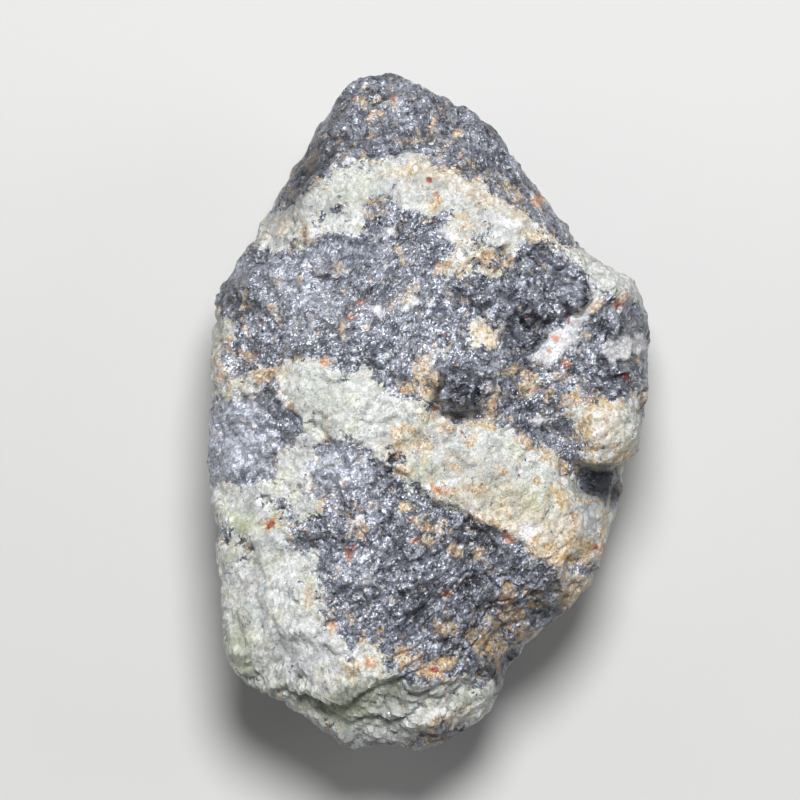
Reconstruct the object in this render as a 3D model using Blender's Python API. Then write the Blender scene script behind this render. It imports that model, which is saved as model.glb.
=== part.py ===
"""Willemite with franklinite: one broken hand specimen of granular zinc ore, lying on its back.

X runs across the specimen, Y along it, from its rounded end to its crown, and Z up from the
surface that it rests on. The origin is below the middle of its outline. Sizes below are in
millimetres, and the model is made in metres.
"""

import itertools
import math

import bpy
import numpy as np

MM = 0.001

# Outline of the specimen seen from above, X and Y in millimetres, once round from the crown.
OUTLINE = (
    (-14.7, 63.9), (-13.2, 64.5), (-10.0, 64.7), (-7.5, 65.3), (-4.3, 64.5), (-1.4, 63.6),
    (2.4, 60.7), (8.1, 58.0), (11.3, 56.0), (13.8, 52.7), (16.6, 48.5), (22.3, 41.3),
    (26.1, 36.2), (29.0, 32.0), (32.8, 28.8), (37.5, 26.5), (39.8, 25.2), (41.3, 21.4),
    (42.3, 17.6), (42.5, 8.1), (41.9, 2.4), (40.9, -1.4), (40.8, -7.1), (39.6, -8.6),
    (37.0, -10.0), (36.6, -12.8), (36.0, -16.6), (35.1, -20.4), (34.1, -25.2), (32.8, -29.9),
    (31.8, -31.8), (29.0, -35.2), (25.2, -39.4), (21.9, -41.7), (19.1, -44.6), (16.2, -47.6),
    (14.3, -49.9), (14.0, -56.5), (11.5, -58.4), (9.4, -59.8), (5.2, -61.3), (2.6, -63.4),
    (-1.0, -65.1), (-5.2, -64.1), (-10.0, -63.9), (-14.7, -64.3), (-16.6, -63.6),
    (-18.9, -62.0), (-21.0, -59.6), (-23.7, -57.5), (-25.4, -57.1), (-27.1, -55.2),
    (-31.4, -54.1), (-35.6, -51.4), (-37.9, -48.5), (-39.0, -45.1), (-39.4, -35.6),
    (-40.2, -24.2), (-40.8, -18.5), (-41.9, -12.8), (-42.1, -9.0), (-41.7, -3.3),
    (-41.1, 4.3), (-41.3, 10.0), (-40.6, 17.6), (-40.8, 21.9), (-39.4, 24.8), (-35.6, 29.4),
    (-32.8, 33.7), (-29.0, 40.4), (-26.1, 46.1), (-23.3, 50.8), (-19.5, 56.5), (-16.6, 61.3),
)

# The broken faces of the specimen: a point on each, the way it falls, as an angle from X, and
# how steeply it falls, in degrees. A slope over 90 faces down.
FACES = (
    ("front_upper", (-4.0, 28.0, 50.5), 80.0, 8.0),
    ("front_middle", (-2.0, 0.0, 52.5), -100.0, 2.0),
    ("front_lower", (-6.0, -34.0, 49.5), -85.0, 11.0),
    ("front_left", (-31.0, 2.0, 47.5), 176.0, 23.0),
    ("front_right", (29.0, 6.0, 48.0), -8.0, 17.0),
    ("lower_left", (-30.0, -30.0, 46.0), 205.0, 24.0),
    ("crown", (-8.0, 48.5, 46.0), 97.0, 50.0),
    ("right_shoulder", (15.0, 40.8, 45.5), 61.0, 46.0),
    ("left_shoulder", (-24.2, 42.3, 43.0), 148.0, 66.0),
    ("left_cheek", (-37.5, 0.0, 43.5), 181.0, 52.0),
    ("right_cheek", (37.5, 12.0, 44.0), 2.0, 55.0),
    ("right_flank", (33.0, -20.0, 42.0), -14.0, 58.0),
    ("lower_right", (19.5, -37.0, 44.0), -47.0, 52.0),
    ("lower_left_flank", (-34.5, -48.0, 42.0), 222.0, 55.0),
    ("under_face", (-6.0, -53.0, 45.0), -92.0, 42.0),
    ("lower_end", (-6.0, -62.5, 34.0), -90.0, 74.0),
    ("crown_back", (-6.0, 64.8, 25.0), 88.0, 122.0),
    ("right_shoulder_back", (24.0, 39.5, 27.0), 52.0, 112.0),
    ("right_back", (42.3, 8.0, 24.0), -8.0, 116.0),
    ("lower_right_back", (31.5, -32.5, 28.0), -38.0, 113.0),
    ("lower_end_back", (0.0, -64.5, 30.0), -97.0, 126.0),
    ("lower_left_back", (-37.5, -49.0, 27.0), 232.0, 115.0),
    ("left_back", (-41.7, -4.0, 27.0), 184.0, 103.0),
    ("left_shoulder_back", (-30.0, 40.0, 26.0), 150.0, 118.0),
    ("keel_crown", (2.0, 48.0, 9.0), 76.0, 143.0),
    ("keel_upper_left", (-27.0, 31.0, 8.0), 133.0, 139.0),
    ("keel_left", (-35.0, -8.0, 7.5), 188.0, 131.0),
    ("keel_lower_left", (-25.0, -40.0, 8.5), 236.0, 141.0),
    ("keel_lower_end", (4.0, -50.0, 10.0), -82.0, 147.0),
    ("keel_lower_right", (25.0, -28.0, 8.0), -30.0, 137.0),
    ("keel_right", (34.0, 10.0, 9.5), 14.0, 133.0),
    ("base", (0.0, 0.0, -2.5), 0.0, 180.0),
)
HEART = (0.0, 0.0, 25.0)  # every ray to the surface starts here
FACE_SHARPNESS = 42.0  # the higher, the narrower the rounding where two faces meet
FRONT_LEVEL = 34.0  # the front features begin at this height
FRONT_FADE = 6.0  # and are full this far above it
FRONT_FACING = 0.25  # they are full where the surface faces up by this share or more
OUTLINE_LEVEL = 27.0  # the outline is at this height, and its small steps fade out below
OUTLINE_FADE = 11.0
OUTLINE_STEPS = 240
SMOOTHED_STEPS = (-2, -1, 0, 1, 2)  # the steps of the outline that are averaged
PLAIN_TURNS = range(-12, 13, 2)  # degrees over which the outline is averaged near the back

# Lumps and pits of the front: middle, half sizes, turn in degrees, and height, under 0 for a pit.
LUMPS = (
    ("right_lump", (34.6, -3.2), (6.6, 6.2), 20.0, 3.4),
    ("right_lump_recess", (32.6, -13.6), (5.2, 2.6), -8.0, -3.0),
    ("belt_hollow", (24.5, -6.0), (7.5, 3.0), -42.0, -1.6),
    ("hanging_lump", (6.4, 4.8), (5.6, 4.8), -15.0, 2.4),
    ("hanging_lump_shadow", (6.2, -1.4), (4.4, 1.2), -4.0, -1.7),
    ("dark_hollow", (18.4, 15.6), (4.4, 3.4), 10.0, -2.0),
    ("dark_hollow_knob", (17.0, 13.2), (1.6, 1.3), 0.0, 1.4),
    ("upper_swell", (-16.0, 36.5), (8.0, 6.0), 25.0, 1.3),
    ("bright_swell", (-22.0, 22.0), (9.0, 8.0), 0.0, 1.2),
    ("ridge_swell", (10.5, 22.0), (4.2, 1.6), 15.0, 1.5),
    ("middle_swell", (-17.0, 1.0), (9.0, 6.0), -20.0, 1.3),
    ("belt_swell", (11.0, -11.5), (10.0, 5.0), -24.0, 1.2),
    ("belt_tip_swell", (26.5, -20.0), (7.5, 5.5), -30.0, 1.6),
    ("left_hollow", (-27.0, -6.5), (6.0, 5.0), 15.0, -1.2),
    ("wedge_hollow", (-22.0, -26.5), (4.4, 2.6), 30.0, -1.1),
    ("lower_left_swell", (-26.0, -38.0), (10.0, 9.0), 35.0, 1.7),
    ("lower_left_grey", (-26.6, -44.0), (4.5, 2.6), 10.0, -0.9),
    ("lower_middle_swell", (-8.0, -27.0), (7.5, 9.0), 30.0, 1.1),
    ("lower_right_hollow", (12.0, -41.5), (6.0, 4.0), 25.0, -1.4),
    ("lower_right_knob", (17.6, -34.2), (4.0, 2.0), 8.0, 1.7),
    ("crown_hollow", (4.0, 54.0), (5.0, 3.0), -30.0, -1.0),
    ("shoulder_knob", (36.5, 22.8), (3.4, 2.4), -25.0, 1.1),
    ("right_block", (37.0, 6.5), (4.5, 3.5), 5.0, 1.2),
    ("under_knob", (-2.0, -57.5), (4.0, 3.0), 0.0, 1.5),
    ("under_lens", (10.4, -57.0), (2.2, 2.6), 20.0, 1.3),
    ("pit_middle", (2.4, 18.1), (1.3, 1.1), 0.0, -1.5),
    ("pit_upper", (-14.9, 28.6), (2.2, 0.8), 20.0, -1.5),
    ("pit_lower", (-23.8, -50.8), (1.2, 1.0), 0.0, -1.3),
    ("pit_lower_left", (-28.6, -47.2), (1.3, 1.0), 0.0, -1.2),
)

# Ledges of the front: how far the upper side stands out over the lower one, how far that fades
# on each side, and the path of the lip. The side on the left of the path is the high one.
LEDGES = (
    ("crack_ledge", 3.6, 6.0, ((-29.0, -52.5), (-24.4, -54.1), (-18.5, -54.4), (-15.3, -54.4),
                               (-12.3, -52.0), (-9.6, -50.8), (-5.8, -49.0))),
    ("vein_ledge", 1.6, 5.0, ((-2.0, -51.5), (3.0, -50.6), (8.0, -51.0), (13.0, -52.2))),
    ("hanging_edge", 1.6, 3.0, ((1.8, 0.8), (3.4, -0.2), (8.4, -0.2), (10.0, 0.8))),
    ("lump_edge", 2.8, 4.0, ((28.5, -9.4), (32.0, -10.6), (37.0, -10.2), (41.0, -8.4))),
    ("ridge_edge", 2.0, 3.5, ((6.6, 23.2), (10.0, 23.6), (15.0, 26.0))),
    ("bright_edge", 1.3, 4.0, ((-26.0, 25.0), (-22.0, 24.4), (-18.0, 25.2))),
    ("middle_edge", 1.4, 4.0, ((-8.0, 23.8), (-5.0, 25.2), (-3.0, 28.0))),
    ("belt_edge", 1.5, 5.0, ((-10.0, -9.4), (-4.0, -12.0), (2.0, -17.2), (9.0, -20.6),
                             (17.0, -23.8), (21.0, -28.0))),
    ("corner_edge", 1.8, 4.0, ((17.4, -32.6), (20.5, -33.2), (24.6, -33.6))),
    ("grain_step_1", 1.0, 3.0, ((-8.0, -29.0), (-2.0, -27.0), (5.6, -24.8))),
    ("grain_step_2", 1.0, 3.0, ((-6.0, -33.6), (2.0, -30.6), (10.0, -28.0))),
    ("grain_step_3", 1.0, 3.0, ((-10.0, -38.4), (-3.0, -36.6), (6.0, -33.4))),
    ("upper_step", 1.1, 3.5, ((-30.0, 34.0), (-24.0, 31.6), (-17.0, 33.0), (-10.0, 31.0))),
    ("crown_step", 1.4, 4.0, ((-12.0, 55.0), (-4.0, 56.6), (4.0, 53.2), (10.0, 50.0))),
    ("crown_ridge", 1.1, 3.0, ((-14.6, 61.5), (-16.1, 55.8), (-17.2, 49.9), (-24.2, 41.3),
                               (-27.8, 36.5))),
)

# Cracks and creases of the front: depth, half width, and path.
CREASES = (
    ("black_crack", 1.6, 0.8, ((-4.4, -40.4), (-2.0, -37.6), (0.6, -34.8))),
    ("under_crack_1", 1.0, 0.6, ((-14.0, -59.4), (-11.4, -57.8))),
    ("under_crack_2", 1.2, 0.7, ((-5.4, -57.4), (-1.0, -55.2))),
    ("under_crack_3", 1.0, 0.6, ((-3.4, -52.8), (-0.2, -52.0))),
    ("left_crease_1", 1.0, 0.8, ((-38.0, -38.4), (-35.4, -44.6))),
    ("left_crease_2", 1.0, 0.7, ((-32.4, -38.0), (-31.0, -41.8))),
    ("left_crease_3", 1.0, 0.7, ((-28.8, -34.0), (-24.6, -36.0))),
    ("notch", 2.6, 1.3, ((10.6, -50.6), (13.0, -51.6), (16.0, -52.2))),
    ("willemite_groove", 1.0, 0.8, ((-22.0, -2.0), (-18.0, -6.0), (-16.0, -10.0))),
    ("shoulder_groove", 1.2, 0.9, ((21.5, 30.0), (27.0, 25.6), (30.6, 24.4))),
)

# Franklinite crystals: middle, half size, turn in degrees, height, and how the top leans.
CRYSTALS = (
    ("block_crystal", (28.2, 21.4), 2.7, 50.0, 2.6, -0.4),
    ("bright_crystal", (10.4, 21.6), 2.2, 35.0, 1.4, -0.45),
    ("hanging_crystal", (5.6, 4.4), 3.6, -18.0, 2.2, -0.35),
    ("hanging_crystal_left", (1.6, 6.4), 1.8, 30.0, 1.4, 0.3),
    ("hanging_crystal_right", (11.0, 4.9), 1.7, 10.0, 1.2, -0.3),
    ("dark_crystal_1", (19.8, 18.6), 1.8, 40.0, 1.3, 0.45),
    ("dark_crystal_2", (14.6, 16.2), 1.6, 10.0, 1.1, -0.38),
    ("left_crystal_1", (-27.5, 19.5), 2.2, 30.0, 1.0, 0.38),
    ("left_crystal_2", (-20.0, 27.5), 2.0, 5.0, 1.0, -0.3),
    ("left_crystal_3", (-17.5, 18.0), 1.8, 50.0, 0.8, 0.45),
    ("middle_crystal_1", (-3.5, 15.5), 2.2, 18.0, 1.0, 0.38),
    ("middle_crystal_2", (-9.0, 10.5), 1.9, 42.0, 0.9, -0.38),
    ("right_crystal_1", (32.5, 13.5), 2.1, 28.0, 1.0, 0.45),
    ("right_crystal_2", (36.0, 9.0), 1.9, 8.0, 0.9, -0.3),
    ("lower_crystal_1", (-3.0, -24.5), 2.3, 33.0, 1.0, 0.38),
    ("lower_crystal_2", (5.5, -29.0), 2.1, 12.0, 1.0, -0.38),
    ("lower_crystal_3", (13.5, -31.0), 2.0, 48.0, 1.0, 0.45),
    ("lower_crystal_4", (-10.5, -33.0), 1.9, 25.0, 0.9, -0.3),
    ("crown_crystal_1", (-6.0, 58.5), 2.2, 20.0, 0.9, 0.38),
    ("crown_crystal_2", (3.5, 55.5), 2.0, 45.0, 0.8, -0.38),
    ("left_low_crystal", (-35.0, -1.5), 2.1, 15.0, 0.8, 0.38),
)

# How the front features are formed.
LIP = 0.5  # half the width of a ledge's drop
PATH_END_FADE = 1.5
LUMP_POWER = 1.5  # the higher, the flatter the top and the steeper the foot of a lump
CRYSTAL_WALL = 2.6  # rise of a crystal's sides for each millimetre across

# Uneven fracture: the size of the waves or of the broken grains, and how far each moves it.
WAVES = ((34.0, 1.5), (15.0, 0.9), (7.0, 0.5))
GRAINS = ((9.0, 1.1), (4.4, 0.5))
WAVE_GAIN = 1.6
GRAIN_BLEND = 10.0  # the higher, the sharper the step between two grains
GRAIN_STEP = 0.5  # how far the levels of the grains differ, in parts of their size
WAVE_SEED = 11
GRAIN_SEED = 31
SEED_STEP = 5

# Whole numbers that turn a cell's number into repeatable chance.
CELL_FACTORS = (73856093, 19349663, 83492791)
SEED_FACTOR = 7919
CHANCE_FACTORS = (2654435761, 2246822519, 3266489917)
CHANCE_STEP = 40503
CHANCE_FOLDS = (15, 13, 16)
CHANCE_MASK = 0xFFFFFFFF
CHANCE_PART = 0xFFFF

SPHERE_LEVELS = 7
SPREAD = (42.0, 65.0, 27.0)  # half sizes of the oval that spaces the points of the surface evenly
KEPT_SHARE = 0.115  # of the triangles, kept where the surface bends most
CUTTER_SIZE = (200.0, 200.0, 20.0)
NEARLY_NOTHING = 1e-9

ORE_COLOUR = (0.33, 0.34, 0.35, 1.0)
ORE_ROUGHNESS = 0.5


def cell_random(cells, seed):
    """Return three repeatable numbers from 0 to 1 for each whole-numbered cell, by multiplying
    and folding its number."""
    mixed = (cells * np.array(CELL_FACTORS)).sum(axis=-1) + seed * SEED_FACTOR
    first, second, third = CHANCE_FACTORS
    numbers = []
    for step in (1, 2, 3):
        value = (mixed * first + step * CHANCE_STEP) & CHANCE_MASK
        value = ((value ^ (value >> CHANCE_FOLDS[0])) * second) & CHANCE_MASK
        value = ((value ^ (value >> CHANCE_FOLDS[1])) * third) & CHANCE_MASK
        value = (value ^ (value >> CHANCE_FOLDS[2])) & CHANCE_PART
        numbers.append(value / CHANCE_PART)
    return np.stack(numbers, axis=-1)


def waves(points, size, seed):
    """Return smooth noise from about -1 to 1: random slopes at the corners of cubes of this size,
    blended inside each cube by 6t^5 - 15t^4 + 10t^3."""
    scaled = points / size
    low = np.floor(scaled)
    part = scaled - low
    blend = part**3 * (part * (part * 6 - 15) + 10)
    total = np.zeros(len(points))
    for corner in itertools.product((0, 1), repeat=3):
        slopes = cell_random((low + corner).astype(np.int64), seed) * 2 - 1
        share = np.prod(np.where(np.array(corner) == 1, blend, 1 - blend), axis=-1)
        total += share * ((part - corner) * slopes).sum(axis=-1)
    return total * WAVE_GAIN


def broken_grains(points, size, seed):
    """Return the relief of broken grains: space is parted round scattered seeds, and each part is
    a plane through its seed with its own slope and level. Where parts meet, their planes are
    averaged with the weight exp(-blend * distance^2)."""
    scaled = points / size
    low = np.floor(scaled)
    relief = np.zeros(len(points))
    weights = np.zeros(len(points))
    for step in itertools.product((-1, 0, 1), repeat=3):
        cells = (low + step).astype(np.int64)
        offset = scaled - (cells + cell_random(cells, seed))
        slope = cell_random(cells, seed + 1) * 2 - 1
        level = GRAIN_STEP * (cell_random(cells, seed + 2)[:, 0] - 0.5)
        level += (offset * slope).sum(axis=-1)
        weight = np.exp(-GRAIN_BLEND * (offset**2).sum(axis=-1))
        relief += weight * level
        weights += weight
    return relief / weights


def outline_radius(angle):
    """Return how far the outline is from the origin at each angle."""
    corners = np.array(OUTLINE)
    turns = np.arctan2(corners[:, 1], corners[:, 0])
    return np.interp(angle, turns, np.hypot(corners[:, 0], corners[:, 1]), period=2 * math.pi)


def plain_radius(angle):
    """Return the outline's radius without its small steps: its mean over 24 degrees."""
    turns = [math.radians(turn) for turn in PLAIN_TURNS]
    return np.mean([outline_radius(angle + turn) for turn in turns], axis=0)


def broken_body(rays):
    """Return where each ray leaves the body, and the way the surface faces there. The body is
    everything inside the outline and behind every broken face, with rounded edges: the reach is
    1 / (sum of (pull of each face)^s)^(1/s), where s is the sharpness."""
    pulls = []
    facings = []
    for _, place, fall, slope in FACES:
        fall = math.radians(fall)
        slope = math.radians(slope)
        level = math.sin(slope)
        facing = np.array((level * math.cos(fall), level * math.sin(fall), math.cos(slope)))
        away = facing @ (np.array(place) - HEART)
        pulls.append(np.maximum(rays @ facing, 0.0) / away)
        facings.append(facing / away)
    flat = np.maximum(np.hypot(rays[:, 0], rays[:, 1]), NEARLY_NOTHING)
    angle = np.arctan2(rays[:, 1], rays[:, 0])
    height = HEART[2] + rays[:, 2] / flat * outline_radius(angle)
    low = np.clip((OUTLINE_LEVEL - height) / OUTLINE_FADE, 0.0, 1.0)
    reach = outline_radius(angle) * (1 - low) + plain_radius(angle) * low
    pulls.append(flat / reach)
    pulls = np.array(pulls)
    highest = pulls.max(axis=0)
    total = highest * ((pulls / highest) ** FACE_SHARPNESS).sum(axis=0) ** (1 / FACE_SHARPNESS)
    weights = (pulls / total) ** (FACE_SHARPNESS - 1)
    normals = weights[:-1].T @ np.array(facings)
    outward = np.column_stack((rays[:, 0] / flat, rays[:, 1] / flat, np.zeros(len(rays))))
    normals += (weights[-1] / reach)[:, None] * outward
    normals /= np.linalg.norm(normals, axis=1)[:, None]
    return np.array(HEART) + rays / total[:, None], normals


def turned(points, middle, turn):
    """Return X and Y measured from a middle, along axes turned by this many degrees."""
    turn = math.radians(turn)
    across = points[:, 0] - middle[0]
    along = points[:, 1] - middle[1]
    return (
        across * math.cos(turn) + along * math.sin(turn),
        along * math.cos(turn) - across * math.sin(turn),
    )


def beside_path(points, path):
    """Return how far each point is from a path seen from above, and on which side: over 0 on the
    left of it. Also return how far past the path's ends it lies."""
    nearest = np.full(len(points), np.inf)
    side = np.zeros(len(points))
    beyond = np.zeros(len(points))
    last = len(path) - 2
    for index, (start, end) in enumerate(zip(path[:-1], path[1:])):
        step = np.array(end) - start
        length = np.hypot(*step)
        offset = points[:, :2] - start
        along = offset @ step / length
        across = (step[0] * offset[:, 1] - step[1] * offset[:, 0]) / length
        over = np.maximum(np.maximum(-along, along - length), 0.0)
        distance = np.hypot(over, across)
        closer = distance < nearest
        at_end = (index == 0) & (along < 0) | (index == last) & (along > length)
        side = np.where(closer, np.sign(across), side)
        beyond = np.where(closer, np.where(at_end, over, 0.0), beyond)
        nearest = np.minimum(distance, nearest)
    return nearest, side, beyond


def front_relief(points):
    """Return how far the named lumps, ledges, creases and crystals move each point out or in."""
    relief = np.zeros(len(points))
    for _, middle, sizes, turn, height in LUMPS:
        across, along = turned(points, middle, turn)
        away = (across / sizes[0]) ** 2 + (along / sizes[1]) ** 2
        relief += height * np.exp(-(away**LUMP_POWER))
    for _, rise, fade, path in LEDGES:
        distance, side, beyond = beside_path(points, path)
        step = 0.5 * rise * side * np.minimum(distance / LIP, 1.0)
        relief += step * np.exp(-distance / fade) * np.exp(-((beyond / PATH_END_FADE) ** 2))
    for _, depth, half_width, path in CREASES:
        distance = beside_path(points, path)[0]
        relief -= depth * np.exp(-((distance / half_width) ** 2))
    for _, middle, half, turn, height, lean in CRYSTALS:
        across, along = turned(points, middle, turn)
        top = height * (1.0 + lean * along / half)
        walls = CRYSTAL_WALL * (half - np.maximum(np.abs(across), np.abs(along)))
        relief += np.maximum(np.minimum(top, walls), 0.0)
    return relief


def fitted_to_outline(points):
    """Stretch each direction so that its widest level reaches the outline."""
    angle = np.arctan2(points[:, 1], points[:, 0])
    step = 2 * math.pi / OUTLINE_STEPS
    share = np.round(angle / step).astype(int) % OUTLINE_STEPS
    widest = np.zeros(OUTLINE_STEPS)
    np.maximum.at(widest, share, np.hypot(points[:, 0], points[:, 1]))
    middles = np.arange(OUTLINE_STEPS) * step
    short = outline_radius(middles) / widest
    short = np.mean([np.roll(short, shift) for shift in SMOOTHED_STEPS], axis=0)
    stretch = np.interp(angle, middles, short, period=2 * math.pi)
    low = np.clip((OUTLINE_LEVEL - points[:, 2]) / OUTLINE_FADE, 0.0, 1.0)
    stretch = stretch * (1 - low) + low
    return points * np.column_stack((stretch, stretch, np.ones(len(points))))


def rock_surface(rays):
    """Return the point of the specimen's surface along each ray from its heart."""
    points, normals = broken_body(rays)
    front = np.clip((points[:, 2] - FRONT_LEVEL) / FRONT_FADE, 0.0, 1.0)
    front *= np.clip(normals[:, 2] / FRONT_FACING, 0.0, 1.0)
    out = front * front_relief(points)
    for index, (size, height) in enumerate(WAVES):
        out += height * waves(points, size, WAVE_SEED + index)
    for index, (size, height) in enumerate(GRAINS):
        out += height * broken_grains(points, size, GRAIN_SEED + SEED_STEP * index)
    return fitted_to_outline(points + normals * out[:, None])


def ore_material():
    """The mixed ore seen from afar: pale grey-green willemite and dark grey franklinite."""
    material = bpy.data.materials.new("zinc_ore")
    material.use_nodes = True
    shader = material.node_tree.nodes["Principled BSDF"]
    shader.inputs["Base Color"].default_value = ORE_COLOUR
    shader.inputs["Roughness"].default_value = ORE_ROUGHNESS
    shader.inputs["Metallic"].default_value = 0.0
    return material


def floor_cutter(collection):
    """A block whose top is the resting plane. It cuts the specimen's flat underside."""
    size = [side * MM for side in CUTTER_SIZE]
    bpy.ops.mesh.primitive_cube_add(size=1.0, location=(0.0, 0.0, -size[2] / 2), scale=size)
    block = bpy.context.object
    block.name = "floor_cutter"
    block.hide_render = True
    block.display_type = "WIRE"
    move_to(block, collection)
    return block


def move_to(thing, collection):
    """Put an object in one collection only."""
    for held_in in list(thing.users_collection):
        held_in.objects.unlink(thing)
    collection.objects.link(thing)


def ore_rock(collection, cutter):
    """The specimen: a sphere's points moved to the broken surface, thinned where it is flat, and
    cut off at the resting plane."""
    bpy.ops.mesh.primitive_ico_sphere_add(subdivisions=SPHERE_LEVELS, radius=1.0)
    rock = bpy.context.object
    rock.name = "ore_rock"
    mesh = rock.data
    places = np.empty(len(mesh.vertices) * 3)
    mesh.vertices.foreach_get("co", places)
    rays = places.reshape(-1, 3) * SPREAD
    rays /= np.linalg.norm(rays, axis=1)[:, None]
    mesh.vertices.foreach_set("co", (rock_surface(rays) * MM).ravel())
    mesh.update()
    thin = rock.modifiers.new("thin_flat_places", "DECIMATE")
    thin.ratio = KEPT_SHARE
    cut = rock.modifiers.new("cut_resting_face", "BOOLEAN")
    cut.operation = "DIFFERENCE"
    cut.object = cutter
    mesh.materials.append(ore_material())
    move_to(rock, collection)
    return rock


for thing in list(bpy.data.objects):
    bpy.data.objects.remove(thing, do_unlink=True)
specimen = bpy.data.collections.new("willemite_with_franklinite")
cutters = bpy.data.collections.new("cutters")
bpy.context.scene.collection.children.link(specimen)
bpy.context.scene.collection.children.link(cutters)
ore_rock(specimen, floor_cutter(cutters))
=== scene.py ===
"""Willemite with franklinite: the looks of one broken hand specimen of granular zinc ore.

X runs across the specimen, Y along it, from its rounded end to its crown, and Z up from the
surface that it lies on. Sizes are in millimetres and are put into the meshes in metres. Places of
minerals are given in pixels of the photograph's 800 by 800 frame, each 0.19 mm wide.
"""

import itertools
import math

import bpy
import numpy as np
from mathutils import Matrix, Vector


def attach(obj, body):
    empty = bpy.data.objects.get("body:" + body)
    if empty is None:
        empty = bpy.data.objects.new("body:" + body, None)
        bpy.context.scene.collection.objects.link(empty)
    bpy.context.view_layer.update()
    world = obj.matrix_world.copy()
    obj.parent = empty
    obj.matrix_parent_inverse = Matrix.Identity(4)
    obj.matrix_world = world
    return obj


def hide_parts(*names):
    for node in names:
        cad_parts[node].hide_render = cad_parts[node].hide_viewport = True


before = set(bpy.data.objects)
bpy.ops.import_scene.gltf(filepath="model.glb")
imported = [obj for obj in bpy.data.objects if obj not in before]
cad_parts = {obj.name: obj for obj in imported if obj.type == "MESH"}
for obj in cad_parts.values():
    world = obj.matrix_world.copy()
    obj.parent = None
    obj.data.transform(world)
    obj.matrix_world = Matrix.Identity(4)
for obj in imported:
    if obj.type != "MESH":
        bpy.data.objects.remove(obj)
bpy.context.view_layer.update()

# Camera
# The specimen lies on its back and is seen from straight above, as the photograph sees it from in
# front. The camera stands far off, because the photograph shows almost no perspective.

MM = 0.001
PIXEL = 0.19  # millimetres on the specimen's outline
PICTURE_WIDTH = 800  # pixels
PICTURE_MIDDLE = (-5.225, 2.375)  # what lies at the middle of the picture
CAMERA_HEIGHT = 3000.0
OUTLINE_HEIGHT = 28.0
SENSOR = 36.0

camera_data = bpy.data.cameras.new("photograph_camera")
camera_data.sensor_width = SENSOR
camera_data.lens = SENSOR * (CAMERA_HEIGHT - OUTLINE_HEIGHT) / (PICTURE_WIDTH * PIXEL)
camera_data.clip_end = 20.0
camera = bpy.data.objects.new("photograph_camera", camera_data)
camera.location = (PICTURE_MIDDLE[0] * MM, PICTURE_MIDDLE[1] * MM, CAMERA_HEIGHT * MM)
bpy.context.scene.collection.objects.link(camera)
bpy.context.scene.camera = camera

# ore_rock
# One stone of pale willemite, blue-black franklinite, a little white calcite and red zincite, all
# grown into each other. It is broken on every side and rests on a flat place of its back. Its
# surface is worked out along rays from inside the stone.

OUTLINE = (
    (-14.7, 63.9), (-13.2, 64.5), (-10.0, 64.7), (-7.5, 65.3), (-4.3, 64.5), (-1.4, 63.6),
    (2.4, 60.7), (8.1, 58.0), (11.3, 56.0), (13.8, 52.7), (16.6, 48.5), (22.3, 41.3),
    (26.1, 36.2), (29.0, 32.0), (32.8, 28.8), (37.5, 26.5), (39.8, 25.2), (41.3, 21.4),
    (42.3, 17.6), (42.5, 8.1), (41.9, 2.4), (40.9, -1.4), (40.8, -7.1), (39.6, -8.6),
    (37.0, -10.0), (36.6, -12.8), (36.0, -16.6), (35.1, -20.4), (34.1, -25.2), (32.8, -29.9),
    (31.8, -31.8), (29.0, -35.2), (25.2, -39.4), (21.9, -41.7), (19.1, -44.6), (16.2, -47.6),
    (14.3, -49.9), (14.0, -56.5), (11.5, -58.4), (9.4, -59.8), (5.2, -61.3), (2.6, -63.4),
    (-1.0, -65.1), (-5.2, -64.1), (-10.0, -63.9), (-14.7, -64.3), (-16.6, -63.6),
    (-18.9, -62.0), (-21.0, -59.6), (-23.7, -57.5), (-25.4, -57.1), (-27.1, -55.2),
    (-31.4, -54.1), (-35.6, -51.4), (-37.9, -48.5), (-39.0, -45.1), (-39.4, -35.6),
    (-40.2, -24.2), (-40.8, -18.5), (-41.9, -12.8), (-42.1, -9.0), (-41.7, -3.3),
    (-41.1, 4.3), (-41.3, 10.0), (-40.6, 17.6), (-40.8, 21.9), (-39.4, 24.8), (-35.6, 29.4),
    (-32.8, 33.7), (-29.0, 40.4), (-26.1, 46.1), (-23.3, 50.8), (-19.5, 56.5), (-16.6, 61.3),
)

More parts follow.
